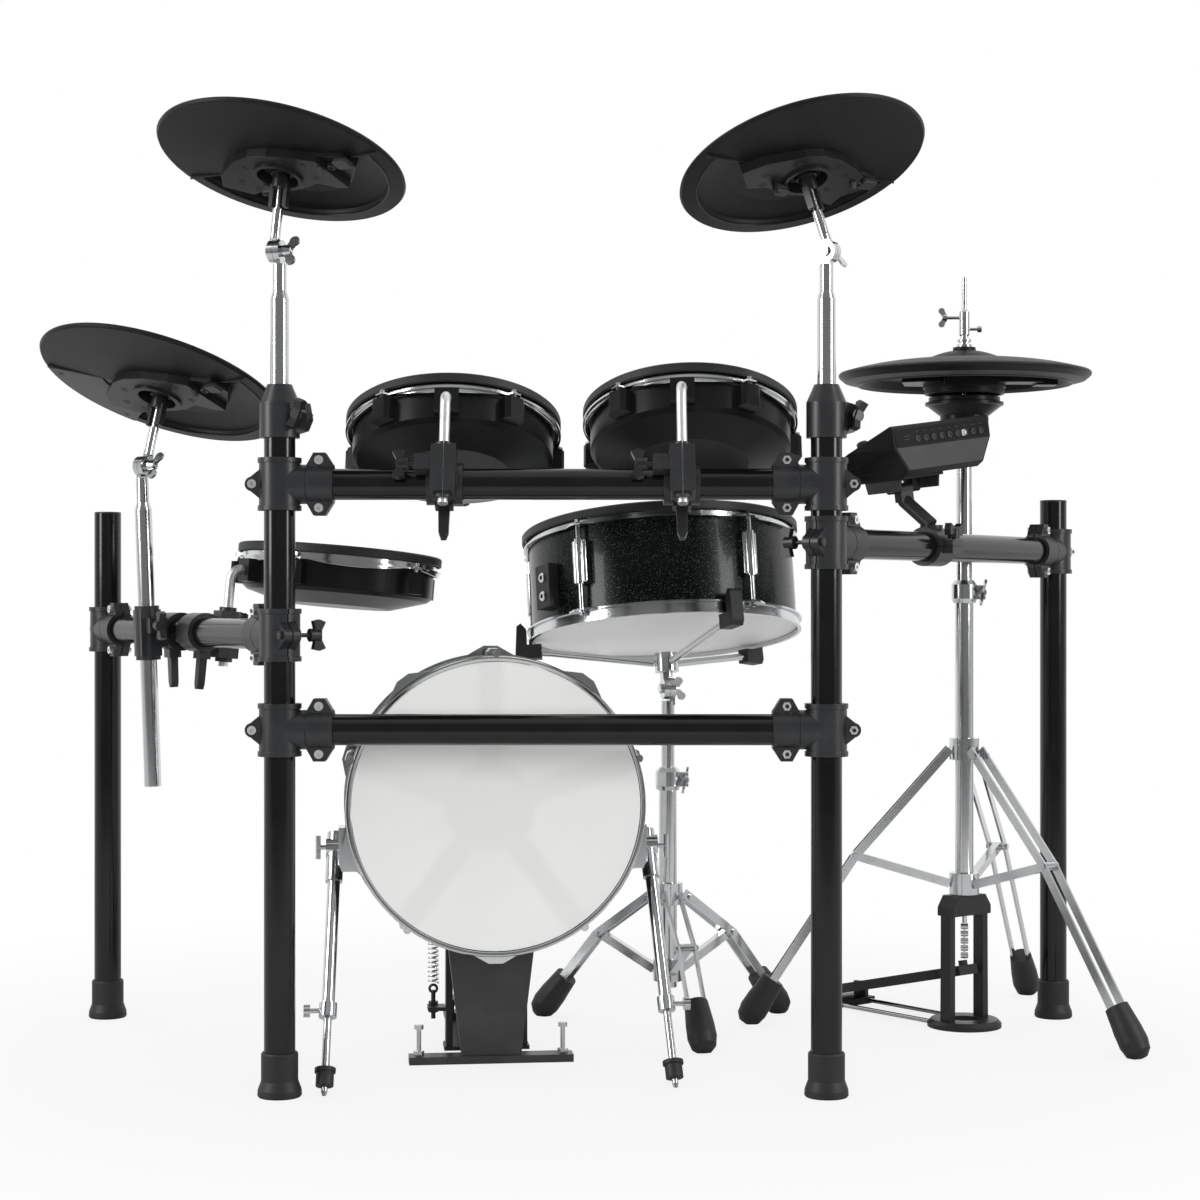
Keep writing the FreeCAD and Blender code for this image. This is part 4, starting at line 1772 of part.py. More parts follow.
def knob(radius, height):
    """Return a turning knob with its shaft, z out of the panel."""
    cap = spun([(0, 0.4), (radius, 0.4), (radius, height - 2), (radius - 2, height), (0, height)])
    shaft = rod(P(0, 0, -3.6), P(0, 0, 1), radius * 0.3)
    mark = block(P(0, radius * 0.75, height), (2, radius * 0.4, 1.2))
    return carved(joined([cap, shaft]), [mark])


def button():
    """Return a push button, z out of the panel."""
    low = -5.0 + BUTTON_TRAVEL + FACE_GAP
    cap = block(P(0, 0, (BUTTON_HEIGHT - 1 + low) / 2), (BUTTON_WIDTH, BUTTON_WIDTH * 0.7,
                                                         BUTTON_HEIGHT - 1 - low))
    return cap


def module_mount():
    """Return the module's bar clamp, post and hinge block."""
    start, way = right_arm()
    spot = start.add(way * (MODULE_AT * RIGHT_ARM_LENGTH))
    place = module_frame()
    middle = hinge_point()
    pivot = place.multVec(middle)
    half = ROD_CLAMP_WIDTH / 2
    side = frame_at(spot, P(0, 0, 1), way)
    ring = rod(P(-half, 0, 0), P(half, 0, 0), ROD_CLAMP_R)
    tower = rod(P(0, 0, 10), P(0, 0, ROD_CLAMP_R + TOWER_HEIGHT), 15.0)
    lug = block(P(0, -ROD_CLAMP_R - 4, 0), (30, 18, 18))
    bore = rod(P(-half - 1, 0, 0), P(half + 1, 0, 0), TUBE_R + FIT)
    slot = block(P(0, -ROD_CLAMP_R - 4, 0), (60, 30, SPLIT))
    clamp = put(carved(joined([ring, tower, lug]), [bore, slot]), side)
    base = spot.add(P(0, 0, ROD_CLAMP_R + TOWER_HEIGHT))
    tongue_low = pivot.sub(place.Rotation.multVec(P(0, 0, 17)))
    post = rod(base, tongue_low, MODULE_POST_R)
    knuckle = Part.makeSphere(MODULE_POST_R, tongue_low)
    tongue = put(block(middle.add(P(0, 0, -9)), (22, 13, 18)), place)
    eye = put(rod(middle.add(P(-11, 0, 0)), middle.add(P(11, 0, 0)), 7.5), place)
    room = put(rod(middle.add(P(-30, 0, 0)), middle.add(P(30, 0, 0)), 9.7), place)
    pin = put(rod(middle.add(P(-30, 0, 0)), middle.add(P(30, 0, 0)), 3.0), place)
    shank = joined([post, knuckle]).cut([room])
    stem = joined([shank.Solids[0], tongue, eye, pin])
    stem = carved(stem, [clamp])
    knob_place = side.multiply(frame_at(P(0, -ROD_CLAMP_R - 7, 10.5), P(0, 0, 1), P(1, 0, 0)))
    return [clamp, stem, put(wing_knob(1.5), knob_place)]


def module():
    """Return the nodes of the sound module."""
    place = module_frame()
    nodes = {"module_case": [put(module_case(), place)], "module_mount": module_mount()}
    for name, (x, y) in control_spots().items():
        seat = place.multiply(panel_frame(x, y))
        if name.endswith("button"):
            nodes[name] = [put(button(), seat)]
        else:
            radius, height = (DIAL_R, DIAL_HEIGHT) if name == "module_dial" else (VOLUME_R, DIAL_HEIGHT - 1)
            nodes[name] = [put(knob(radius, height), seat)]
    return nodes


def kit():
    """Return every node in the layout frame."""
    nodes = {}
    for group in (rack(), cymbals(), toms(), stands(), hihat(), snare(), kick(), module()):
        for name, shapes in group.items():
            nodes[name] = nodes.get(name, []) + shapes
    return nodes


def origin_shift(nodes):
    """Return the move that puts the origin at the bottom centre of the whole kit."""
    box = FreeCAD.BoundBox()
    for shapes in nodes.values():
        for shape in shapes:
            box.add(shape.optimalBoundingBox(False, False))
    return P(-(box.XMin + box.XMax) / 2, -(box.YMin + box.YMax) / 2, -box.ZMin)


def main():
    """Write one STEP file for each node."""
    os.makedirs("parts", exist_ok=True)
    nodes = kit()
    move = FreeCAD.Placement(origin_shift(nodes), FreeCAD.Rotation())
    for name, shapes in nodes.items():
        placed = [put(shape, move) for shape in shapes]
        whole = placed[0] if len(placed) == 1 else Part.makeCompound(placed)
        whole.exportStep("parts/" + name + ".step")
    print("nodes", len(nodes), "shift", move.Base)


if __name__ == "__main__":
    main()
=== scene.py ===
"""Looks of an electronic drum kit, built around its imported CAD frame."""
import json
import logging
import math
from dataclasses import dataclass
from enum import Enum
from typing import Any, Optional, Sequence, Union

import bmesh
import bpy
import numpy as np
from mathutils import Matrix, Vector


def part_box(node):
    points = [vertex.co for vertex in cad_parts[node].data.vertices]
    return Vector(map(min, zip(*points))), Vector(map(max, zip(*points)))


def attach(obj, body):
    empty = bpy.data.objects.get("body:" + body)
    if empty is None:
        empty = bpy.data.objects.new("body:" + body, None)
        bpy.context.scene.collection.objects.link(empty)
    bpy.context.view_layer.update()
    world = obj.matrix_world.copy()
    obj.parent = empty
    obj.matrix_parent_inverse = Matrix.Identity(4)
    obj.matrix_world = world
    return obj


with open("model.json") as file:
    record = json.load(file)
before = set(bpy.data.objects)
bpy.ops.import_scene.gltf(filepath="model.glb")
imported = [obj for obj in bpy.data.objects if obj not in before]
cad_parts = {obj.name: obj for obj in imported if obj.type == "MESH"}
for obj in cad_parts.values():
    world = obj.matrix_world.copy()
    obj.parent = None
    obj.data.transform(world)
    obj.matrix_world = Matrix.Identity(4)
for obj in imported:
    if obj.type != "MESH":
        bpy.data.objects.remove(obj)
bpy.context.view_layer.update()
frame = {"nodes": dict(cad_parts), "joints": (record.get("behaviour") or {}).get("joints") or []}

LOG = logging.getLogger("kit")

Colour = tuple[float, float, float]
Pair = tuple[float, float]
Number = Union[int, float]

MM = 0.001
SHARP_DEGREES = 32
UP = Vector((0, 0, 1))
RIGHT = Vector((1, 0, 0))


# Places

def middle_of(node: str) -> Vector:
    """Return the middle of a CAD node's box."""
    low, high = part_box(node)
    return (Vector(low) + Vector(high)) / 2


def shifted(x: float, y: float, z: float) -> Matrix:
    """Return a plain move."""
    return Matrix.Translation(Vector((x, y, z)))


def spoke(degrees: float) -> Vector:
    """Return the level unit direction at an angle."""
    turn = math.radians(degrees)
    return Vector((math.cos(turn), math.sin(turn), 0))


def bead(radius: float, height: float, size: float) -> list[Pair]:
    """Return the round section of a bead for turning."""
    ways = [spoke(degrees) for degrees in range(0, 360, 45)]
    return [(radius + size * way.x, height + size * way.y) for way in ways]


def plug(radius: float, low: float, high: float) -> list[Pair]:
    """Return the section of a flat disc for turning."""
    return [(0.01, low), (radius, low), (radius, high), (0.01, high)]


# Shader maths

class Value:
    """A shader socket that takes part in Python arithmetic."""

    def __init__(self, graph: "Graph", socket: bpy.types.NodeSocket) -> None:
        """Keep the socket and the graph it belongs to."""
        self.graph = graph
        self.socket = socket

    def __add__(self, other: "Operand") -> "Value":
        """Return self plus other."""
        return self.graph.math("ADD", self, other)

    def __sub__(self, other: "Operand") -> "Value":
        """Return self less other."""
        return self.graph.math("SUBTRACT", self, other)

    def __mul__(self, other: "Operand") -> "Value":
        """Return self times other."""
        return self.graph.math("MULTIPLY", self, other)

    def __radd__(self, other: Number) -> "Value":
        """Return other plus self."""
        return self.graph.math("ADD", other, self)

    def __rsub__(self, other: Number) -> "Value":
        """Return other less self."""
        return self.graph.math("SUBTRACT", other, self)

    def __lt__(self, other: "Operand") -> "Value":
        """Return one where self is below other."""
        return self.graph.math("LESS_THAN", self, other)

    def __gt__(self, other: "Operand") -> "Value":
        """Return one where self is above other."""
        return self.graph.math("GREATER_THAN", self, other)

    def __abs__(self) -> "Value":
        """Return the size of self."""
        return self.graph.math("ABSOLUTE", self)


Operand = Union[Value, int, float]


class Made:
    """A node that has been added, with its outputs by name."""

    def __init__(self, graph: "Graph", node: bpy.types.Node) -> None:
        """Keep the node."""
        self.graph = graph
        self.node = node

    def __getitem__(self, name: Union[str, int]) -> Value:
        """Return an output as a value."""
        return Value(self.graph, self.node.outputs[name])


class Graph:
    """The node tree of one material or of the world."""

    def __init__(self, tree: bpy.types.NodeTree) -> None:
        """Start from an empty tree.

        Args:
            tree: The node tree to fill.
        """
        self.tree = tree
        tree.nodes.clear()

    def node(self, kind: str, settings: Optional[dict[str, Any]] = None,
             inputs: Optional[dict[Union[str, int], Any]] = None) -> Made:
        """Add a node.

        Args:
            kind: The node's type.
            settings: Attributes that are set first.
            inputs: Values or links of its input sockets.

        Returns:
            The node that was added.
        """
        made = self.tree.nodes.new(kind)
        for name, value in (settings or {}).items():
            setattr(made, name, value)
        for name, value in (inputs or {}).items():
            socket = made.inputs[name]
            if isinstance(value, Value):
                self.tree.links.new(value.socket, socket)
            elif socket.type == "RGBA" and len(value) == 3:
                socket.default_value = (*value, 1.0)
            else:
                socket.default_value = value
        return Made(self, made)

    def math(self, operation: str, first: Operand, second: Operand = 0.0) -> Value:
        """Return the result of a Math node."""
        return self.node("ShaderNodeMath", {"operation": operation}, {0: first, 1: second})["Value"]

    def step(self, value: Value, low: float, high: float) -> Value:
        """Return a smooth step of a value, zero at low and one at high."""
        settings = {"interpolation_type": "SMOOTHSTEP"}
        inputs = {"Value": value, "From Min": low, "From Max": high}
        return self.node("ShaderNodeMapRange", settings, inputs)["Result"]

    def blend(self, factor: Operand, first: Union[Colour, Value], second: Union[Colour, Value]) -> Value:
        """Return a colour between two colours."""
        inputs = {0: factor, 6: first, 7: second}
        return self.node("ShaderNodeMix", {"data_type": "RGBA"}, inputs)[2]

    def place(self) -> Value:
        """Return the point on the surface in the object's own space, in metres."""
        return self.node("ShaderNodeTexCoord")["Object"]

    def axes(self, point: Value) -> tuple[Value, Value, Value]:
        """Return the three coordinates of a point."""
        made = self.node("ShaderNodeSeparateXYZ", inputs={0: point})
        return made["X"], made["Y"], made["Z"]

    def noise(self, point: Value, scale: float, detail: float = 2.0, rough: float = 0.5) -> Value:
        """Return soft noise over a point."""
        inputs = {"Vector": point, "Scale": scale, "Detail": detail, "Roughness": rough}
        return self.node("ShaderNodeTexNoise", inputs=inputs)["Fac"]

    def bump(self, height: Value, distance: float, strength: float, normal: Optional[Value] = None) -> Value:
        """Return a normal bent by a height.

        Args:
            height: The height, about zero to one.
            distance: The height's depth in metres.
            strength: How far the normal follows it.
            normal: The normal to start from.

        Returns:
            The bent normal.
        """
        inputs = {"Height": height, "Distance": distance, "Strength": strength}
        if normal is not None:
            inputs["Normal"] = normal
        return self.node("ShaderNodeBump", inputs=inputs)["Normal"]

    def rounded(self, radius: float) -> Value:
        """Return a normal that looks rounded at sharp edges."""
        return self.node("ShaderNodeBevel", {"samples": 4}, {"Radius": radius})["Normal"]


# Finishes

@dataclass(frozen=True)
class Finish:
    """A surface finish: one material, made once."""

    name: str
    colour: Colour
    roughness: float
    metallic: float = 0.0
    coat: float = 0.0
    edge: float = 0.0
    grain: float = 900.0
    depth: float = 0.00002
    smudge: float = 0.06
    specular: float = 0.5

    def material(self) -> bpy.types.Material:
        """Return the material, made on the first call."""
        known = bpy.data.materials.get(self.name)
        if known is not None:
            return known
        material = bpy.data.materials.new(self.name)
        material.use_nodes = True
        graph = Graph(material.node_tree)
        point = graph.place()
        inputs = {"Metallic": self.metallic, "Coat Weight": self.coat, "Coat Roughness": 0.04,
                  "Specular IOR Level": self.specular}
        inputs.update(self.surface(graph, point))
        shader = graph.node("ShaderNodeBsdfPrincipled", inputs=inputs)
        graph.node("ShaderNodeOutputMaterial", inputs={"Surface": shader["BSDF"]})
        return material

    def edges(self, graph: Graph) -> Optional[Value]:
        """Return the edge-rounding normal where the finish has one."""
        return graph.rounded(self.edge) if self.edge else None

    def surface(self, graph: Graph, point: Value) -> dict[str, Any]:
        """Return the shader inputs of this finish: fine grain, and soft smudges in the gloss.

        Args:
            graph: The material's graph.
            point: The point on the surface.

        Returns:
            Values of the shader's inputs by name.
        """
        fine = graph.noise(point, self.grain, 3.0, 0.6)
        cloud = graph.noise(point, 26.0, 4.0, 0.6)
        lighter = tuple(min(1.0, c * 1.4 + 0.001) for c in self.colour)
        return {
            "Base Color": graph.blend(graph.step(cloud, 0.35, 0.75), self.colour, lighter),
            "Roughness": self.roughness + (cloud - 0.5) * self.smudge + (fine - 0.5) * self.smudge,
            "Normal": graph.bump(fine, self.depth, 0.6, self.edges(graph)),
        }


@dataclass(frozen=True)
class Chrome(Finish):
    """Polished plating: bright, with faint fingermarks."""

    def surface(self, graph: Graph, point: Value) -> dict[str, Any]:
        """Return the shader inputs of polished plating."""
        cloud = graph.noise(point, 40.0, 5.0, 0.7)
        smear = graph.step(cloud, 0.5, 0.8)
        dull = tuple(c * 0.93 for c in self.colour)
        return {
            "Base Color": graph.blend(smear, self.colour, dull),
            "Roughness": self.roughness + smear * self.smudge,
            "Normal": graph.bump(graph.noise(point, 70.0, 1.0), self.depth, 0.25, self.edges(graph)),
        }


@dataclass(frozen=True)
class Sparkle(Finish):
    """Black lacquer with fine metal flakes under a clear coat."""

    flake_scale: float = 900.0
    flake_share: float = 0.16

    def surface(self, graph: Graph, point: Value) -> dict[str, Any]:
        """Return the shader inputs of the sparkle lacquer."""
        inputs = {"Vector": point, "Scale": self.flake_scale}
        cells = graph.node("ShaderNodeTexVoronoi", inputs=inputs)
        pick = graph.node("ShaderNodeSeparateColor", inputs={0: cells["Color"]})
        flake = (pick["Red"] < self.flake_share) * graph.step(cells["Distance"], 0.5, 0.2)
        shade = graph.blend(pick["Green"], (0.03, 0.13, 0.11), (0.22, 0.26, 0.24))
        return {
            "Base Color": graph.blend(flake, self.colour, shade),
            "Roughness": self.roughness + flake * 0.2,
            "Metallic": flake * 0.8,
        }


@dataclass(frozen=True)
class Film(Finish):
    """White drum film, slightly clouded."""

    def surface(self, graph: Graph, point: Value) -> dict[str, Any]:
        """Return the shader inputs of coated film."""
        fine = graph.noise(point, 1400.0, 2.0)
        cloud = graph.noise(point, 9.0, 3.0)
        shade = tuple(c * 0.965 for c in self.colour)
        return {
            "Base Color": graph.blend(graph.step(cloud, 0.3, 0.75), self.colour, shade),
            "Roughness": self.roughness + (fine - 0.5) * 0.1,
            "Normal": graph.bump(fine, 0.00001, 0.3),
        }


@dataclass(frozen=True)
class Skin(Film):
    """White film with the shadow of the trigger frame behind it painted into its colour."""

    node: str = "kick_heads"
    hub: float = 0.057
    arm: float = 0.015
    arms: int = 5
    fade: float = 0.007
    shadow_tint: float = 0.925

    def surface(self, graph: Graph, point: Value) -> dict[str, Any]:
        """Return the shader inputs of film with the trigger frame's shadow painted on."""
        inputs = super().surface(graph, point)
        inputs_away = {0: point, 1: tuple(middle_of(self.node))}
        away = graph.node("ShaderNodeVectorMath", {"operation": "SUBTRACT"}, inputs_away)
        x, _, z = graph.axes(away["Vector"])
        radius = graph.math("SQRT", x * x + z * z)
        shade = graph.step(radius, self.hub + self.fade, self.hub - self.fade)
        for k in range(self.arms):
            turn = math.radians(90 + 360 * k / self.arms)
            along = x * math.cos(turn) + z * math.sin(turn)
            across = abs(z * math.cos(turn) - x * math.sin(turn))
            strip = graph.step(across, self.arm + self.fade, self.arm - self.fade) * (along > 0)
            shade = graph.math("MAXIMUM", shade, strip)
        # Painted shadow: the frame's hub and arms darken the film's colour.
        dark = tuple(c * self.shadow_tint for c in self.colour)
        inputs["Base Color"] = graph.blend(shade, inputs["Base Color"], dark)
        return inputs


@dataclass(frozen=True)
class Weave(Finish):
    """Woven mesh: two crossing sets of fine threads."""

    pitch: float = 0.0011

    def surface(self, graph: Graph, point: Value) -> dict[str, Any]:
        """Return the shader inputs of woven mesh."""
        x, y, _ = graph.axes(point)
        turns = 2 * math.pi / self.pitch
        warp = graph.math("SINE", x * turns)
        weft = graph.math("SINE", y * turns)
        height = graph.math("MAXIMUM", warp, weft) * 0.5 + 0.5
        open_part = graph.step(height, 0.75, 0.45)
        dark = tuple(c * 0.45 for c in self.colour)
        return {
            "Base Color": graph.blend(open_part, self.colour, dark),
            "Roughness": self.roughness + open_part * 0.1,
            "Normal": graph.bump(height, 0.0002, 0.4),
        }


CHROME = Chrome("polished_chrome", (0.64, 0.65, 0.66), 0.16, metallic=1.0, smudge=0.06, depth=0.000006)
SATIN_ROD = Chrome("satin_rod", (0.86, 0.87, 0.87), 0.42, metallic=1.0, smudge=0.06)
GLOSS_TUBE = Finish("gloss_black_tube", (0.004, 0.0043, 0.005), 0.17, coat=0.12, smudge=0.04, depth=0.000012,
                    grain=320.0, specular=0.34)
MOULDED = Finish("moulded_plastic", (0.015, 0.016, 0.0175), 0.36, edge=0.0008, smudge=0.12, depth=0.00004)
KNOB_PLASTIC = Finish("knob_plastic", (0.009, 0.0095, 0.0105), 0.33, edge=0.0008, smudge=0.12, depth=0.00003)
RUBBER = Finish("matte_rubber", (0.009, 0.009, 0.0095), 0.55, edge=0.0006, smudge=0.14, depth=0.00005)
PAD_RUBBER = Finish("pad_rubber", (0.0055, 0.0057, 0.0062), 0.46, smudge=0.10, depth=0.00004, grain=1300.0,
                    specular=0.25)
RIM_RUBBER = Finish("rim_rubber", (0.010, 0.010, 0.011), 0.50, edge=0.0008, smudge=0.12, depth=0.00004)
HOUSING = Finish("housing_plastic", (0.010, 0.0103, 0.0112), 0.34, edge=0.0010, smudge=0.12, depth=0.00004,
                 specular=0.35)
# Pale grey plastic parts and printed marks, and a painted sheen on the module's rear plate and the hi-hat
# pad's beads.
PALE_PLASTIC_AND_SHEEN = Finish("pale_plastic_and_painted_sheen", (0.028, 0.029, 0.031), 0.42, edge=0.0006, smudge=0.12,
                      depth=0.00004)
# A darker copy of the housing finish: painted shade on the hi-hat pad's housing.
SHADED_HAT_HOUSING = Finish("hat_housing_painted_shade", (0.005, 0.0052, 0.0058), 0.40, edge=0.0010, smudge=0.12,
                     depth=0.00004, specular=0.25)
# Dark seams and screws, and painted shade inside bolt sockets, screw recesses and jack holes.
DARK_PART_AND_HOLE_SHADE = Finish("dark_part_and_painted_hole_shade", (0.004, 0.004, 0.0045), 0.5, smudge=0.1, depth=0.00002)
GLOSS_PLASTIC = Finish("gloss_plastic", (0.006, 0.0063, 0.007), 0.32, edge=0.0008, smudge=0.06, depth=0.00001,
                       specular=0.18)
SATIN_STEEL = Finish("satin_black_steel", (0.026, 0.026, 0.028), 0.36, edge=0.0006, smudge=0.12,
                     depth=0.00003)
CAST_BLACK = Finish("cast_black", (0.009, 0.009, 0.010), 0.40, edge=0.0008, smudge=0.14, depth=0.00006,
                    grain=500.0)
LACQUER = Sparkle("sparkle_lacquer", (0.0015, 0.003, 0.003), 0.26, coat=0.12, specular=0.22)
WHITE_FILM = Film("white_film", (0.92, 0.92, 0.91), 0.42)
KICK_SKIN = Skin("kick_skin_star_shadow", (0.91, 0.91, 0.90), 0.42)
MESH = Weave("mesh_head", (0.045, 0.045, 0.05), 0.7)
WHITE_MESH = Weave("white_mesh_head", (0.74, 0.74, 0.73), 0.7)
FELT = Finish("felt", (0.05, 0.05, 0.053), 0.95, depth=0.0003, grain=700.0)
PALE_FELT = Finish("pale_felt", (0.62, 0.60, 0.56), 0.95, depth=0.0003, grain=700.0)
STAR_PLASTIC = Finish("star_plastic", (0.10, 0.10, 0.10), 0.6, depth=0.00005)
LABEL = Finish("pale_label", (0.72, 0.72, 0.70), 0.5, smudge=0.05, depth=0.00001)
MODULE_CASE = Finish("module_case_plastic", (0.005, 0.0052, 0.0058), 0.42, edge=0.0008, smudge=0.12,
                     depth=0.00004, specular=0.22)
SCREEN = Finish("dark_screen", (0.008, 0.012, 0.018), 0.08, coat=0.6, smudge=0.03, depth=0.00001)
KEY_GREY = Finish("soft_key", (0.10, 0.10, 0.105), 0.6, edge=0.0005, smudge=0.1, depth=0.00003)


# Dressing of CAD nodes

def solids_of(node: str) -> np.ndarray:
    """Number the faces of a CAD node by the solid they belong to.

    Args:
        node: The node's name.

    Returns:
        One solid number per face, in the order of the solids in the node.
    """
    mesh = frame["nodes"][node].data
    _, weld = np.unique(np.round(points_of(node), 5), axis=0, return_inverse=True)
    weld = weld.reshape(-1)
    starts = np.zeros(len(mesh.polygons), np.int32)
    mesh.polygons.foreach_get("loop_start", starts)
    corners = np.zeros(len(mesh.loops), np.int32)
    mesh.loops.foreach_get("vertex_index", corners)
    corner = weld[corners]
    faces = np.stack([corner[starts], corner[starts + 1], corner[starts + 2]], axis=1)
    label = np.arange(weld.max() + 1)
    while True:
        low = label[faces].min(axis=1)
        fresh = label.copy()
        for k in range(3):
            np.minimum.at(fresh, faces[:, k], low)
        fresh = fresh[fresh]
        if (fresh == label).all():
            break
        label = fresh
    own = label[faces[:, 0]]
    order: dict[int, int] = {}
    return np.array([order.setdefault(int(value), len(order)) for value in own])


def points_of(node: str) -> np.ndarray:
    """Return the points of a CAD node, in metres."""
    mesh = frame["nodes"][node].data
    points = np.zeros(len(mesh.vertices) * 3, np.float32)
    mesh.vertices.foreach_get("co", points)
    return points.reshape(-1, 3)


def dress_all(finish: Finish, *nodes: str) -> None:
    """Give several CAD nodes one finish."""
    for node in nodes:
        dress(node, finish)


def dress(node: str, *finishes: Finish) -> None:
    """Give a CAD node its finishes.

    Args:
        node: The node's name.
        finishes: One finish for the whole node, or one per solid; the last one covers the rest.
    """
    thing = frame["nodes"][node]
    thing.data.materials.clear()
    kinds = list(dict.fromkeys(finishes))
    for finish in kinds:
        thing.data.materials.append(finish.material())
    if len(kinds) > 1:
        solids = solids_of(node)
        pick = [kinds.index(finish) for finish in finishes]
        index = np.array([pick[min(number, len(pick) - 1)] for number in solids], np.int32)
        thing.data.polygons.foreach_set("material_index", index)
        LOG.info("dressed %s: %d solids", node, solids.max() + 1)
    else:
        LOG.info("dressed %s", node)


# Meshes

class Sketch:
    """One mesh put together from turned, cut and bent solids, in millimetres, in a local frame."""

    def __init__(self, place: Optional[Matrix] = None) -> None:
        """Start an empty mesh.
        """
        self.place = place if place is not None else Matrix.Identity(4)
        self.mesh = bmesh.new()

    def lathe(self, outline: Sequence[Pair], start: float = 0.0, sweep: float = 360.0, sides: int = 72,
              move: Optional[Matrix] = None) -> "Sketch":
        """Turn a closed outline about z.

        Args:
            outline: Radius and height pairs round the section.
            start: Where the sweep begins, in degrees.
            sweep: How far it goes, in degrees.
            sides: Steps of a full turn.
            move: A further placement, in millimetres.

        Returns:
            The sketch itself.
        """
        whole = sweep >= 360.0
        steps = max(3, round(sides * sweep / 360.0))
        rings = []
        for k in range(steps if whole else steps + 1):
            turn = math.radians(start + sweep * k / steps)
            points = [Vector((r * math.cos(turn), r * math.sin(turn), z)) for r, z in outline]
            rings.append([self.mesh.verts.new(move @ p if move else p) for p in points])
        count = len(outline)
        for k in range(steps):
            near, far = rings[k], rings[(k + 1) % len(rings)]
            for i in range(count):
                j = (i + 1) % count
                self.mesh.faces.new((near[i], far[i], far[j], near[j]))
        if not whole:
            self.mesh.faces.new(rings[0])
            self.mesh.faces.new(list(reversed(rings[-1])))
        return self

    def slab(self, outline: Sequence[Pair], low: float, high: float,
             move: Optional[Matrix] = None) -> "Sketch":
        """Raise a prism from an outline in the xy plane.

        Args:
            outline: The corners, anticlockwise.
            low: Height of the base.
            high: Height of the top.
            move: A further placement, in millimetres.

        Returns:
            The sketch itself.
        """
        place = move or Matrix.Identity(4)
        return self.loft([[place @ Vector((x, y, z)) for x, y in outline] for z in (low, high)])

    def rod(self, start: Sequence[float], end: Sequence[float], radius: float,
            end_radius: Optional[float] = None, sides: int = 28) -> "Sketch":
        """Add a round rod or cone between two points, with softened ends.

        Args:
            start: One end.
            end: The other end.
            radius: Its radius at the start.
            end_radius: Its radius at the end, where that differs.
            sides: Steps round it.

        Returns:
            The sketch itself.
        """
        a, b = Vector(start), Vector(end)
        length = (b - a).length
        top = radius if end_radius is None else end_radius
        soft = min(radius, top, length) * 0.18
        outline = [(0.001, 0.0), (radius - soft, 0.0), (radius, soft), (top, length - soft),
                   (top - soft, length), (0.001, length)]
        turn = (b - a).to_track_quat("Z", "Y").to_matrix().to_4x4()
        return self.lathe(outline, sides=sides, move=Matrix.Translation(a) @ turn)

    def block(self, centre: Sequence[float], size: Sequence[float]) -> "Sketch":
        """Add a block with cut corners.

        Args:
            centre: Its middle.
            size: Its size along x, y and z.

        Returns:
            The sketch itself.
        """
        x, y, z = (value / 2 for value in size)
        soft = min(x, y) * 0.22
        outline = [(-x + soft, -y), (x - soft, -y), (x, -y + soft), (x, y - soft),
                   (x - soft, y), (-x + soft, y), (-x, y - soft), (-x, -y + soft)]
        return self.slab(outline, -z, z, move=shifted(*centre))

    def bend(self, points: Sequence[Sequence[float]], radius: float, sides: int = 14) -> "Sketch":
        """Run a round bar through points.

        Args:
            points: The line of its middle.
            radius: Its radius.
            sides: Steps round it.

        Returns:
            The sketch itself.
        """
        line = [Vector(p) for p in points]
        side = (line[1] - line[0]).orthogonal().normalized()
        ways = [spoke(360 * i / sides) * radius for i in range(sides)]
        sections = []
        for k, here in enumerate(line):
            way = (line[min(k + 1, len(line) - 1)] - line[max(k - 1, 0)]).normalized()
            side = (side - way * side.dot(way)).normalized()
            other = way.cross(side)
            sections.append([here + side * out.x + other * out.y for out in ways])
        return self.loft(sections)

    def loft(self, sections: Sequence[Sequence[Vector]]) -> "Sketch":
        """Join closed sections into one solid.

        Args:
            sections: The sections in order, each with the same number of points.

        Returns:
            The sketch itself.
        """
        rings = [[self.mesh.verts.new(point) for point in section] for section in sections]
        count = len(rings[0])
        for near, far in zip(rings, rings[1:]):
            for i in range(count):
                j = (i + 1) % count
                self.mesh.faces.new((near[i], near[j], far[j], far[i]))
        self.mesh.faces.new(list(reversed(rings[0])))
        self.mesh.faces.new(rings[-1])
        return self

    def piece(self, name: str, body: str, finish: Finish, bevel: float = 0.0) -> None:
        """Turn the sketch into a piece that rides on a body.

        Args:
            name: The piece's name.
            body: The body it moves with.
            finish: Its finish.
            bevel: Width of its rounded edges in millimetres.
        """
        bmesh.ops.recalc_face_normals(self.mesh, faces=self.mesh.faces)
        data = bpy.data.meshes.new(name)
        self.mesh.to_mesh(data)
        self.mesh.free()
        data.transform(self.place @ Matrix.Scale(MM, 4))
        data.polygons.foreach_set("use_smooth", [True] * len(data.polygons))
        data.set_sharp_from_angle(angle=math.radians(SHARP_DEGREES))
        data.materials.append(finish.material())
        thing = bpy.data.objects.new(name, data)
        bpy.context.scene.collection.objects.link(thing)
        if bevel:
            round_edges = thing.modifiers.new("edges", "BEVEL")
            round_edges.width = bevel * MM
            round_edges.segments = 2
            round_edges.limit_method = "ANGLE"
        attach(thing, body)
        LOG.info("piece %s on %s", name, body)


def joint(name: str) -> dict[str, Any]:
    """Return a joint of the frame by its name."""
    return next(entry for entry in frame["joints"] if entry["name"] == name)


def frame_of(origin: Vector, up: Vector, side: Vector) -> Matrix:
    """Return a local frame.

    Args:
        origin: Its origin.
        up: Its z axis.
        side: A direction near its x axis.

    Returns:
        The frame as a matrix.
    """
    z = up.normalized()
    x = (side - z * side.dot(z)).normalized()
    y = z.cross(x)
    turn = Matrix((x, y, z)).transposed().to_4x4()
    return Matrix.Translation(origin) @ turn


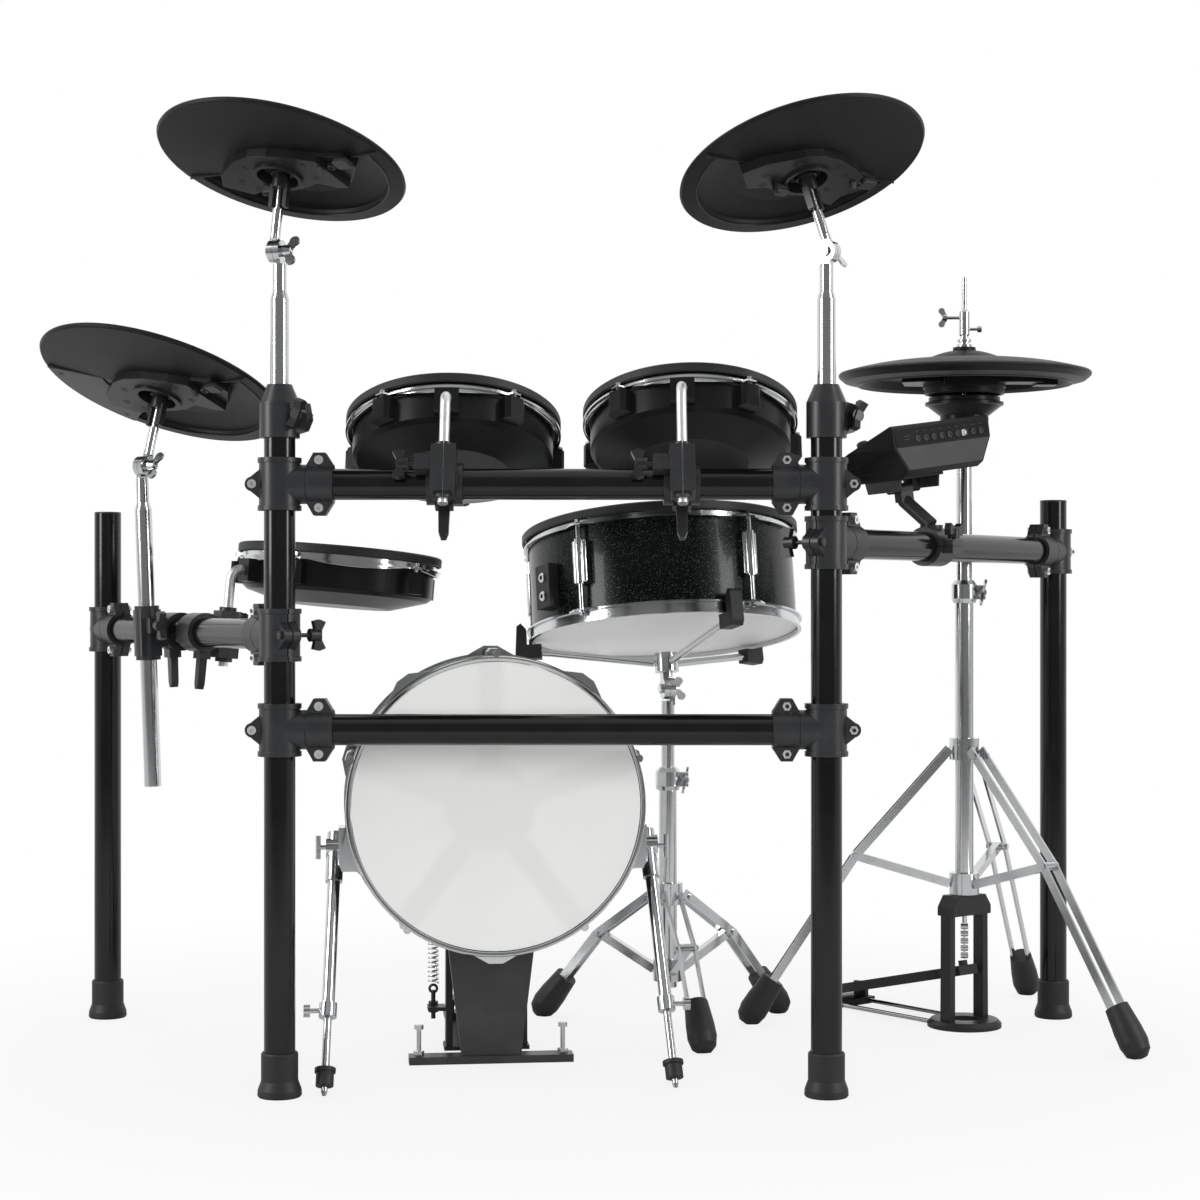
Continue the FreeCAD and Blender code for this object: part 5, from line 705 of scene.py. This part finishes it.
def solid_points(node: str) -> list[np.ndarray]:
    """Return the points of each solid of a CAD node, in metres."""
    mesh = frame["nodes"][node].data
    points = points_of(node)
    numbers = solids_of(node)
    corners = np.zeros((len(mesh.polygons), 3), np.int32)
    mesh.polygons.foreach_get("vertices", corners.reshape(-1))
    return [points[np.unique(corners[numbers == k])] for k in range(numbers.max() + 1)]


def disc_frame(points: np.ndarray) -> Matrix:
    """Return the frame of a flat round solid: at its middle, z upward, x to the right."""
    middle = (points.min(axis=0) + points.max(axis=0)) / 2
    _, ways = np.linalg.eigh(np.cov((points - middle).T))
    normal = Vector(ways[:, 0])
    if normal.dot(UP) < 0:
        normal.negate()
    return frame_of(Vector(middle), normal, RIGHT)


# Studio

@dataclass
class Studio:
    """Floor, light and camera."""

    eye: Vector = Vector((0.01426, -3.18737, 0.605))
    lens: float = 70.9
    shift: float = -0.0017
    floor_half: float = 9.0
    clear_from: float = 0.6
    clear_to: float = 1.5

    def build(self) -> None:
        """Make the whole set."""
        self.camera()
        self.floor()
        self.world()
        self.lamps()
        bpy.context.scene.view_settings.view_transform = "Standard"

    def camera(self) -> None:
        """Place the camera at the photograph's viewpoint."""
        data = bpy.data.cameras.new("camera")
        data.lens = self.lens
        data.sensor_width = 36.0
        data.sensor_fit = "HORIZONTAL"
        data.shift_y = self.shift
        camera = bpy.data.objects.new("camera", data)
        camera.location = self.eye
        camera.rotation_euler = (math.radians(90), 0, 0)
        bpy.context.scene.collection.objects.link(camera)
        bpy.context.scene.camera = camera

    def floor(self) -> None:
        """Lay the pale floor, white to the camera away from the shadow."""
        mesh = bpy.data.meshes.new("floor")
        half = self.floor_half
        corners = [(-half, -half, 0), (half, -half, 0), (half, half, 0), (-half, half, 0)]
        mesh.from_pydata(corners, [], [(0, 1, 2, 3)])
        floor = bpy.data.objects.new("floor", mesh)
        bpy.context.scene.collection.objects.link(floor)
        material = bpy.data.materials.new("pale_floor")
        material.use_nodes = True
        graph = Graph(material.node_tree)
        point = graph.place()
        x, y, _ = graph.axes(point)
        reach = graph.math("SQRT", x * x + y * y)
        cloud = graph.noise(point, 3.0, 2.0)
        pale = graph.blend(cloud, (0.84, 0.84, 0.84), (0.88, 0.88, 0.88))
        glow = graph.node("ShaderNodeEmission", inputs={"Color": (1.0, 1.0, 1.0), "Strength": 1.0})
        path = graph.node("ShaderNodeLightPath")
        # Painted shade: reflections see the floor dark far in front, and bounce light sees it dark in front
        # of the kit.
        near = graph.blend(graph.step(y, -3.0, -1.2), (0.15, 0.15, 0.15), (0.85, 0.85, 0.85))
        under = graph.blend(graph.step(y, -0.9, -0.2), (0.18, 0.18, 0.18), (0.95, 0.95, 0.95))
        bounce = graph.blend(path["Is Glossy Ray"], under, near)
        colour = graph.blend(path["Is Camera Ray"], bounce, pale)
        paint = graph.node("ShaderNodeBsdfDiffuse", inputs={"Color": colour})
        away = graph.step(reach, self.clear_from, self.clear_to) * 0.18 + 0.82
        mirrored = graph.math("MAXIMUM", path["Is Glossy Ray"], path["Is Transmission Ray"])
        seen = graph.math("MAXIMUM", path["Is Camera Ray"] * away, mirrored * graph.step(y, 1.2, 2.8))
        mix = graph.node("ShaderNodeMixShader", inputs={0: seen, 1: paint["BSDF"], 2: glow["Emission"]})
        graph.node("ShaderNodeOutputMaterial", inputs={"Surface": mix["Shader"]})
        mesh.materials.append(material)

    def world(self) -> None:
        world = bpy.data.worlds.new("studio")
        bpy.context.scene.world = world
        world.use_nodes = True
        graph = Graph(world.node_tree)
        way = graph.node("ShaderNodeTexCoord")["Generated"]
        x, y, z = graph.axes(way)
        path = graph.node("ShaderNodeLightPath")
        behind = graph.step(y, -0.10, 0.45)
        above = graph.step(z, 0.62, 0.97) * 0.8
        beside = graph.step(abs(x), 0.80, 0.94) * 0.35
        bright = graph.math("MAXIMUM", graph.math("MAXIMUM", behind, above), beside)
        soft = path["Is Diffuse Ray"] * 0.23
        level = 0.22 + soft + bright * (0.78 - soft)
        white = graph.math("MAXIMUM", path["Is Camera Ray"], path["Is Transmission Ray"])
        shade = graph.math("MAXIMUM", level, white)
        back = graph.node("ShaderNodeBackground", inputs={"Color": (1.0, 1.0, 1.0), "Strength": shade})
        graph.node("ShaderNodeOutputWorld", inputs={"Surface": back["Background"]})

    def lamps(self) -> None:
        """Hang a strip on each side for the highlights and a wide soft light in front."""
        self.lamp("left_strip", Vector((-2.6, -1.3, 1.7)), (0.9, 2.2), 57.0, True)
        self.lamp("right_strip", Vector((2.6, -1.5, 1.7)), (0.7, 2.2), 46.0, True)
        self.lamp("front_soft", Vector((0.1, -3.4, 1.1)), (3.4, 1.6), 62.0, False)

    def lamp(self, name: str, spot: Vector, size: Pair, power: float, mirrored: bool) -> None:
        """Args:
            name: The lamp's name.
            spot: Where it hangs.
            size: Its width and height.
            power: Its power in watts.
            mirrored: Whether it shows in shiny surfaces alone, or lights the rest and doesn't show.
        """
        data = bpy.data.lights.new(name, "AREA")
        data.shape = "RECTANGLE"
        data.size, data.size_y = size
        data.energy = power
        lamp = bpy.data.objects.new(name, data)
        lamp.location = spot
        lamp.visible_camera = False
        lamp.visible_glossy = mirrored
        lamp.visible_diffuse = not mirrored
        way = Vector((0.0, 0.0, 0.7)) - spot
        lamp.rotation_euler = way.to_track_quat("-Z", "Y").to_euler()
        bpy.context.scene.collection.objects.link(lamp)


@dataclass
class Rack:
    """Posts, bars, clamps, bolts, feet and collars."""

    socket: float = 2.7

    def build(self) -> None:
        """Dress the rack's nodes and add the small fittings."""
        dress_all(GLOSS_TUBE, "rack_posts", "rack_bars")
        dress("tee_clamps", MOULDED)
        dress("clamp_bolts", SATIN_ROD)
        dress("rubber_feet", RUBBER)
        dress("post_collars", MOULDED, MOULDED, MOULDED, KNOB_PLASTIC, MOULDED, KNOB_PLASTIC)
        self.sockets()

    def sockets(self) -> None:
        """Set a hexagon socket into the head of every clamp bolt, with the shade inside it painted as a dark
        slab.
        """
        hexagon = [tuple(spoke(60 * k).xy * self.socket) for k in range(6)]
        sketch = Sketch()
        for points in solid_points("clamp_bolts"):
            middle = points.mean(axis=0)
            _, ways = np.linalg.eigh(np.cov((points - middle).T))
            way = ways[:, 2]
            along = (points - middle) @ way
            across = np.linalg.norm((points - middle) - np.outer(along, way), axis=1)
            if across[along > np.median(along)].max() < across[along < np.median(along)].max():
                way, along = -way, -along
            face = middle + way * along.max()
            place = frame_of(Vector(face), Vector(way), Vector((0.31, 0.2, 0.93)))
            place.translation *= 1 / MM
            sketch.slab(hexagon, -0.4, 0.12, move=place)
        sketch.piece("clamp_bolts_sockets", "rack", DARK_PART_AND_HOLE_SHADE)


class Plan(Enum):
    """How the underside of a cymbal pad is divided: start and sweep of its apron, and its side panel."""

    HALF = (180.0, 180.0, False)
    PANEL = (212.0, 148.0, True)

    def __init__(self, start: float, sweep: float, has_panel: bool) -> None:
        """Name the values of the plan."""
        self.start = start
        self.sweep = sweep
        self.has_panel = has_panel


@dataclass
class Cymbal:
    """One cymbal pad on its tube and tilter, seen mostly from below."""

    name: str
    radius: float
    hang: Vector
    plan: Plan = Plan.HALF
    depth: float = 34.0
    apron_in: float = 46.0
    apron_drop: float = 23.0
    rim_drop: float = 17.8
    flange_drop: float = 24.0
    screw_circle: float = 22.0
    jack_out: float = 0.60

    def build(self) -> None:
        """Dress the tube, the tilter and the pad, and add the underside's fittings."""
        dress(self.name + "_tube", CHROME)
        dress(self.name + "_tilter", CHROME, CHROME, KNOB_PLASTIC, FELT, FELT, CHROME)
        dress(self.name + "_pad", PAD_RUBBER, HOUSING)
        rock = joint(self.name + "_rock")
        self.place = frame_of(Vector(rock["pos_m"]), self.hang, Vector(rock["axis"]))
        self.apron()
        self.screws()
        self.flange()
        self.jack()
        self.bow_ring()
        if self.plan.has_panel:
            self.panel()

    def add(self, sketch: Sketch, name: str, finish: Finish, bevel: float = 0.0) -> None:
        """Hang a finished sketch on the pad."""
        sketch.piece(self.name + "_" + name, self.name + "_pad", finish, bevel)

    def slope(self, radius: float) -> float:
        """Return the height of the apron's lower face at a radius."""
        share = (radius - self.apron_in) / (self.radius - 1.5 - self.apron_in)
        return -self.apron_drop + (self.apron_drop - self.rim_drop) * share

    def apron(self) -> None:
        """Close the audience half of the underside with a smooth cone out to the rim."""
        rim = self.radius - 1.5
        start, sweep = self.plan.start, self.plan.sweep
        outline = [(self.apron_in, -self.apron_drop), (rim - 1.5, self.slope(rim - 1.5)),
                   (rim, -self.rim_drop + 1.2), (rim - 1.0, -self.rim_drop + 2.6),
                   (self.apron_in, -self.apron_drop + 3.0)]
        self.add(Sketch(self.place).lathe(outline, start + 0.4, sweep - 0.8, sides=120), "apron", PAD_RUBBER)
        seam = Sketch(self.place)
        for turn in (start, start + sweep):
            way = Matrix.Rotation(math.radians(turn), 4, "Z")
            inner, outer = self.apron_in + 14, rim - 4
            line = [(inner, -0.8), (outer, -0.8), (outer, 0.8), (inner, 0.8)]
            seam.slab(line, -self.apron_drop + 1.5, -self.rim_drop - 0.2, move=way)
        self.add(seam, "seams", DARK_PART_AND_HOLE_SHADE)

    def screws(self) -> None:
        """Sink the housing screws into recesses, with the shade inside each painted as a dark disc."""
        spots = [(-0.40, 0.02), (-0.22, -0.17), (0.17, -0.20), (-0.33, 0.15), (0.30, 0.10), (0.33, -0.11),
                 (-0.10, 0.17)]
        cups = Sketch(self.place)
        heads = Sketch(self.place)
        for x, y in spots:
            move = shifted(x * self.radius, y * self.radius, -self.depth)
            cups.lathe(plug(3.9, -0.15, 0.4), sides=24, move=move)
            heads.lathe([(4.0, -0.1), (5.2, -0.3), (5.2, 0.5), (4.0, 0.5)], sides=24, move=move)
        self.add(cups, "screw_cups", DARK_PART_AND_HOLE_SHADE)
        self.add(heads, "screw_rims", HOUSING)

    def flange(self) -> None:
        """Fit the screwed ring inside the recess, the stop block beside the rod and its clip."""
        low = -self.flange_drop
        ring = Sketch(self.place)
        ring.lathe([(13.0, low), (24.0, low), (25.4, low + 1.4), (25.4, low + 2.4), (13.0, low + 2.4)])
        self.add(ring, "recess_ring", PALE_PLASTIC_AND_SHEEN)
        pins = Sketch(self.place)
        for turn in (20, 110, 200, 290):
            way = spoke(turn) * self.screw_circle
            pins.rod((way.x, way.y, low + 0.5), (way.x, way.y, low - 0.6), 2.1, sides=16)
        self.add(pins, "recess_screws", DARK_PART_AND_HOLE_SHADE)
        stop = Sketch(self.place)
        stop.block((-27.0, 20.0, -self.depth - 4.5), (17.0, 12.0, 13.0))
        self.add(stop, "stop_block", PALE_PLASTIC_AND_SHEEN, 0.8)
        clip = Sketch(self.place)
        line = [(-38, 0), (-39, 8), (-36, 11.5), (-30, 12)]
        clip.bend([(x, 20, -self.depth - drop) for x, drop in line], 1.3)
        self.add(clip, "stop_clip", HOUSING)

    def jack(self) -> None:
        """Add the jack in the stepped end of the housing, its collar and the small peg beside it."""
        z = -self.depth + 8.0
        x = self.jack_out * self.radius
        mouth = shifted(x - 9, 0.0, z)
        cover = Sketch(self.place)
        cover.block((x + 8, -0.005 * self.radius, z - 2.5), (22.0, 17.0, 6.0))
        self.add(cover, "jack_box", PALE_PLASTIC_AND_SHEEN, 0.8)
        ring = Sketch(self.place)
        ring.lathe([(3.2, -6.2), (5.4, -6.2), (5.8, -5.6), (5.8, 0), (3.2, 0)], sides=28, move=mouth)
        self.add(ring, "jack_collar", HOUSING)
        # Painted shade: the jack's hole is a dark disc.
        hole = Sketch(self.place)
        hole.lathe(plug(3.3, -5.0, 0), sides=20, move=mouth)
        self.add(hole, "jack_hole", DARK_PART_AND_HOLE_SHADE)
        peg = Sketch(self.place)
        peg.rod((x - 22, -8, -self.depth + 2), (x - 20, -1, -self.depth - 5.0), 4.0, 3.6, sides=20)
        self.add(peg, "jack_peg", PALE_PLASTIC_AND_SHEEN)

    def bow_ring(self) -> None:
        """Run a fine bead along the inner edge of the playing half's lip, in a finish paler than the rubber
        that paints its edge highlight brighter.
        """
        start, sweep = self.plan.start, self.plan.sweep
        section = bead(self.radius - 20.5, -17.6, 1.3)
        lip = Sketch(self.place).lathe(section, start + sweep + 1, 358 - sweep, sides=120)
        self.add(lip, "lip_bead", HOUSING)

    def panel(self) -> None:
        """Close the open sector with a flat screwed panel."""
        rim = self.radius - 3.0
        inner = self.radius * 0.50
        outline = [(inner, self.slope(inner)), (rim, -self.rim_drop - 0.7), (rim, -self.rim_drop + 1.0),
                   (inner, self.slope(inner) + 2)]
        sector = Sketch(self.place).lathe(outline, 150, self.plan.start - 152, sides=120)
        self.add(sector, "side_panel", PALE_PLASTIC_AND_SHEEN)
        # Painted shade: the screw recesses are dark discs.
        cups = Sketch(self.place)
        for radius, turn in ((0.90, 156), (0.90, 204), (0.60, 180)):
            spot = spoke(turn) * radius * self.radius
            move = shifted(spot.x, spot.y, self.slope(spot.length))
            cups.lathe(plug(3.4, -0.9, 0.8), sides=20, move=move)
        self.add(cups, "panel_screws", DARK_PART_AND_HOLE_SHADE)


@dataclass
class Tom:
    """One tom pad on its L-rod."""

    name: str
    shell_half: float = 17.0
    head_gap: float = 0.6
    pan_depth: float = 19.0
    pan_radius: float = 74.0
    shell_radius: float = 128.0
    lug_half: float = 7.5
    skirt_drop: float = 5.0
    skirt_steps: int = 24

    def build(self) -> None:
        """Dress the clamp, rod, shell, hoop and head, and add the pan's rings and the hoop's skirt."""
        dress(self.name + "_clamp", MOULDED, KNOB_PLASTIC)
        dress(self.name + "_rod", SATIN_ROD)
        dress(self.name + "_shell", GLOSS_PLASTIC)
        dress(self.name + "_hoop", CHROME)
        dress(self.name + "_head", MESH, RIM_RUBBER)
        head = solid_points(self.name + "_head")[0]
        place = disc_frame(head)
        shell_low = -2 * self.shell_half - self.head_gap
        floor = shell_low - self.pan_depth
        rings = Sketch(place)
        for radius, width in ((self.pan_radius - 6, 2.2), (self.pan_radius * 0.45, 1.6)):
            rings.lathe([(radius, floor + 0.4), (radius, floor - 0.9), (radius + width, floor - 0.9),
                         (radius + width, floor + 0.4)])
        edge = self.shell_radius - 6
        level = shell_low - 5
        rings.lathe([(edge - 1, level + 1), (edge - 1, level - 1.0), (edge + 0.6, level - 0.4),
                     (edge + 0.8, level + 1)])
        rings.piece(self.name + "_pan_rings", self.name, GLOSS_PLASTIC)
        self.crescents(place)

    def crescents(self, place: Matrix) -> None:
        """Hang the hoop's bright skirt between the lugs, deepest half way."""
        ring, *screws = solid_points(self.name + "_hoop")
        inverse = place.inverted()
        low = min((inverse @ Vector(p)).z for p in ring) / MM
        turns = []
        for screw in screws:
            spot = inverse @ Vector(screw.mean(axis=0))
            turns.append(math.degrees(math.atan2(spot.y, spot.x)) % 360)
        turns.sort()
        skirt = Sketch(place)
        for start, end in zip(turns, turns[1:] + [turns[0] + 360]):
            sections = []
            for k in range(self.skirt_steps + 1):
                share = k / self.skirt_steps
                way = spoke(start + self.lug_half + (end - start - 2 * self.lug_half) * share)
                drop = 0.6 + self.skirt_drop * (1 - abs(2 * share - 1) ** 2.2)
                inner, outer = self.shell_radius + 4.4, self.shell_radius + 6.0 + 0.35 * drop
                outline = [(inner, low + 0.6), (outer, low + 0.6), (outer, low - drop + 0.6),
                           (outer - 0.8, low - drop), (inner, low - drop)]
                sections.append([way * r + UP * z for r, z in outline])
            skirt.loft(sections)
        skirt.piece(self.name + "_hoop_skirt", self.name, CHROME)


@dataclass
class HiHat:
    """Hi-hat stand parts, pad and sensor."""

    pad_radius: float = 177.0
    lip: float = 149.0
    pad_height: float = 923.0

    def build(self) -> None:
        """Dress the stands' and the hi-hat's nodes, and add the pad's beads, whose pale finish paints the
        edge highlights.
        """
        dress_all(CHROME, "stand_tubes", "stand_legs", "hihat_rod")
        dress("hihat_base", *(CAST_BLACK,) * 7, CHROME)
        dress("hihat_pedal", CAST_BLACK)
        # The pad's housing takes the darker copy of the housing finish: painted shade.
        dress("hihat_pad", PAD_RUBBER, SHADED_HAT_HOUSING)
        dress("hihat_sensor", GLOSS_PLASTIC)
        axis = middle_of("hihat_pad")
        beads = Sketch(shifted(axis.x, axis.y, 0))
        # The beads are rounded edges that catch the light; their pale finish paints the highlights brighter.
        rows = ((self.lip + 1.0, -17.0, 0.9), (self.pad_radius - 1.4, -1.6, 0.8), (60.0, 17.2, 0.7))
        for radius, rise, size in rows:
            beads.lathe(bead(radius, self.pad_height + rise, size), sides=120)
        beads.piece("hihat_pad_beads", "hihat_rod", PALE_PLASTIC_AND_SHEEN)


@dataclass
class Snare:
    """Snare drum with its basket and upright."""

    jack_rises: Pair = (-14.0, 12.0)

    def build(self) -> None:
        """Dress the snare's nodes and add its jacks."""
        dress("snare_shell", LACQUER, HOUSING)
        dress("snare_heads", WHITE_FILM, WHITE_MESH, RIM_RUBBER)
        dress_all(CHROME, "snare_hoops", "snare_lugs", "snare_upright")
        dress("snare_basket", CHROME, *(CHROME, RUBBER) * 3, CHROME)
        self.jacks()

    def jacks(self) -> None:
        """Fit two jacks with bright collars to the face of the jack box."""
        shell, box = solid_points("snare_shell")
        drum = disc_frame(shell)
        up = drum.to_3x3().col[2]
        middle = Vector((box.min(axis=0) + box.max(axis=0)) / 2)
        out = middle - drum.translation
        out = (out - up * out.dot(up)).normalized()
        face = max((Vector(p) - middle).dot(out) for p in box)
        place = frame_of(middle + out * face, out, up)
        collars = Sketch(place)
        # Painted shade: each jack's hole is a dark disc.
        holes = Sketch(place)
        for rise in self.jack_rises:
            move = shifted(rise, 0, 0)
            collars.lathe([(3.4, -0.5), (7.0, -0.5), (7.0, 1.2), (5.8, 2.4), (3.4, 2.4)], sides=24, move=move)
            holes.lathe(plug(3.4, -0.5, 0.5), sides=20, move=move)
        collars.piece("snare_jack_collars", "snare", CHROME)
        holes.piece("snare_jack_holes", "snare", DARK_PART_AND_HOLE_SHADE)


@dataclass
class Kick:
    """Kick drum, riser and pedal."""

    hinge_height: float = 0.284
    hinge_half: float = 0.016
    end_slack: float = 0.0002

    def build(self) -> None:
        """Dress the kick's and its pedal's nodes and add the legs' handles."""
        dress("kick_shell", LACQUER)
        dress("kick_heads", KICK_SKIN)
        dress("kick_star", STAR_PLASTIC)
        dress_all(CHROME, "kick_hoops", "kick_lugs", "kick_legs", "pedal_spring")
        dress("kick_riser", SATIN_STEEL, CHROME)
        dress("pedal_base", CAST_BLACK)
        dress("pedal_footboard", CAST_BLACK, CHROME)
        dress("pedal_beater", CHROME, PALE_FELT)
        self.handles()

    def handles(self) -> None:
        """Screw a bright tee handle into the outer end of each leg's hinge."""
        middle = middle_of("kick_shell")
        points = points_of("kick_legs")
        top = points[points[:, 2] > self.hinge_height - self.hinge_half]
        ends = []
        for side in (-1, 1):
            out = (top[:, 0] - middle.x) * side
            ends.append(Vector(top[out > out.max() - self.end_slack].mean(axis=0)))
        across = (ends[1] - ends[0]).normalized()
        for name, end, way in (("left", ends[0], -across), ("right", ends[1], across)):
            handle = Sketch(frame_of(end, way, UP))
            handle.rod((0, 0, -1), (0, 0, 9), 3.0, sides=18)
            handle.rod((-15, 0, 10), (15, 0, 10), 3.4, sides=18)
            handle.piece("kick_" + name + "_handle", "rack", CHROME)


@dataclass
class Module:
    """Sound module on its bracket."""

    width: float = 172.0
    depth: float = 113.0
    rear: float = 66.0
    front: float = 33.0
    strip: float = 28.0
    taper: float = 22.0
    hinge_x: float = -28.0
    hinge_drop: float = 16.0
    wing_out: float = 33.0
    wing_lean: float = 8.0
    jacks: int = 9

    def build(self) -> None:
        """Dress the module's nodes and add its jacks, panels, keys and bracket."""
        dress("module_case", MODULE_CASE)
        dress("module_mount", MOULDED, SATIN_STEEL, KNOB_PLASTIC)
        dress_all(KNOB_PLASTIC, "module_dial", "module_volume", "module_start_button", "module_menu_button")
        self.place = self.case_frame()
        self.rear_face()
        self.sides()
        self.bracket()
        self.panel()

    def slope(self) -> float:
        """Return the slope of the top panel in radians."""
        return math.atan2(self.rear - self.front, self.depth - 10)

    def case_frame(self) -> Matrix:
        """Return the case's frame: x along its width, y down the panel, z out of it."""
        tilt = joint("module_tilt")
        side = Vector(tilt["axis"])
        out = Vector(joint("module_dial_turn")["axis"])
        up = Matrix.Rotation(self.slope(), 3, side) @ out
        turn = frame_of(Vector((0, 0, 0)), up, side)
        hinge = Vector((self.hinge_x, 0, -self.rear / 2 - self.hinge_drop)) * MM
        return Matrix.Translation(Vector(tilt["pos_m"]) - turn.to_3x3() @ hinge) @ turn

    def add(self, sketch: Sketch, name: str, finish: Finish, bevel: float = 0.0) -> None:
        """Fix a finished sketch to the case."""
        sketch.piece("module_" + name, "module", finish, bevel)

    def rear_frame(self) -> Matrix:
        """Return the frame of the rear face: x along the width, y up, z out of it."""
        move = shifted(0, -self.depth / 2 * MM, 0)
        return self.place @ move @ Matrix.Rotation(math.radians(90), 4, "X")

    def rear_face(self) -> None:
        """Add the dark jack strip with its jacks and label, and below it a plate whose paler colour is a
        painted reflection of the floor; the jack holes' shade is painted dark.
        """
        face = self.rear_frame()
        half = self.width / 2 - 3
        knee = self.rear / 2 - self.strip
        top = self.rear / 2 - 5
        strip = Sketch(face).slab([(-half, knee + 1), (half, knee + 1), (half, top), (-half, top)], -0.6, 0.8)
        self.add(strip, "jack_strip", GLOSS_PLASTIC, 0.4)
        low = -self.rear / 2 + 7
        draw = self.taper * (knee - low) / (knee + self.rear / 2)
        outline = [(-half + draw, low), (half - draw, low), (half, knee - 1), (-half, knee - 1)]
        # Painted reflection: the plate's paler finish stands in for the floor it reflects.
        plate = Sketch(face).slab(outline, -0.6, 0.9)
        self.add(plate, "rear_plate", PALE_PLASTIC_AND_SHEEN, 0.4)
        # Painted shade: each jack's hole is a dark disc.
        rims, holes, dots = Sketch(face), Sketch(face), Sketch(face)
        middle = (knee + top) / 2
        for k in range(self.jacks):
            x = -half + 38 + k * (2 * half - 52) / (self.jacks - 1)
            move = shifted(x, middle - 3.0, 0.8)
            rims.lathe([(2.7, -0.2), (4.3, -0.2), (4.3, 1.0), (3.9, 1.5), (2.7, 1.5)], sides=24, move=move)
            holes.lathe(plug(2.75, -0.2, 0.7), sides=20, move=move)
            dots.block((x, middle + 6.2, 0.9), (5.0, 0.9, 0.5))
        dots.block((-half + 20, middle + 1.5, 0.9), (11.0, 0.9, 0.5))
        dots.block((-half + 20, middle - 2.5, 0.9), (8.0, 0.9, 0.5))
        self.add(rims, "jack_rims", SATIN_STEEL)
        self.add(holes, "jack_holes", DARK_PART_AND_HOLE_SHADE)
        self.add(dots, "jack_marks", PALE_PLASTIC_AND_SHEEN)
        label = Sketch(face).block((half * 0.46, middle - 3.0, 1.4), (7.0, 8.0, 1.6))
        self.add(label, "label", LABEL, 0.2)

    def sides(self) -> None:
        """Add the dark lower cheeks."""
        half = self.depth / 2
        base = -self.rear / 2
        knee = self.rear / 2 - self.strip
        corners = [(-half + 9, knee - 3), (half - 12, base + self.front - 16), (half - 8, base + 8),
                   (-half + 12, base + 8)]
        for side in (-1, 1):
            ring = []
            for y, z in corners:
                inset = self.taper * (knee - z) / (knee - base)
                ring.append(Vector((side * (self.width / 2 - max(0.0, inset)), y, z)))
            faces = [[point + RIGHT * side * rise for point in ring] for rise in (0.9, -0.6)]
            cheek = Sketch(self.place).loft(faces)
            self.add(cheek, "left_cheek" if side < 0 else "right_cheek", GLOSS_PLASTIC, 0.4)

    def bracket(self) -> None:
        """Fold the bracket's two wings under the case."""
        base = -self.rear / 2 - 3.0
        for side, name in ((-1, "left_wing"), (1, "right_wing")):
            move = shifted(self.hinge_x + side * self.wing_out, 0, base)
            move = move @ Matrix.Rotation(math.radians(90), 4, "Z")
            move = move @ Matrix.Rotation(math.radians(-90 - side * self.wing_lean), 4, "X")
            wing = Sketch(self.place).slab([(-36, 0), (36, 0), (30, 16), (-30, 16)], -1.1, 1.1, move=move)
            self.add(wing, name, SATIN_STEEL, 0.3)

    def panel(self) -> None:
        """Lay out the top panel: screen and keys."""
        place = self.place @ shifted(0, (-self.depth / 2 + 4) * MM, self.rear / 2 * MM)
        place = place @ Matrix.Rotation(-self.slope(), 4, "X")
        run = (self.depth - 10) / math.cos(self.slope())
        half = self.width / 2
        sheet = Sketch(place).block((-14, run * 0.26, 0.1), (66.0, 32.0, 1.4))
        self.add(sheet, "screen_frame", GLOSS_PLASTIC, 0.3)
        glass = Sketch(place).block((-14, run * 0.26, 0.5), (54.0, 22.0, 1.2))
        self.add(glass, "screen", SCREEN, 0.2)
        keys = Sketch(place)
        for first, count, share in ((-40, 4, 0.48), (26, 3, 0.84)):
            for k in range(count):
                keys.block((first + k * 17, run * share, 0.9), (11.0, 6.0, 2.2))
        for share in (0.2, 0.36):
            keys.block((-half + 16, run * share, 0.9), (10.0, 8.0, 2.4))
        self.add(keys, "keys", KEY_GREY, 0.5)


def main() -> None:
    """Build the set and every sub-assembly in order."""
    logging.basicConfig(level=logging.INFO, format="%(message)s")
    Studio().build()
    parts = [Rack(), HiHat(), Snare(), Kick(), Module()]
    parts += [Cymbal("left_crash", 155.0, Vector((0.18, 0.27, 0.946))),
              Cymbal("right_crash", 155.0, Vector((-0.23, 0.32, 0.92))),
              Cymbal("ride", 168.0, Vector((0.237, 0.314, 0.919)), Plan.PANEL)]
    parts += [Tom(name) for name in ("left_tom", "right_tom", "floor_tom")]
    for part in parts:
        part.build()


if __name__ == "__main__":
    main()
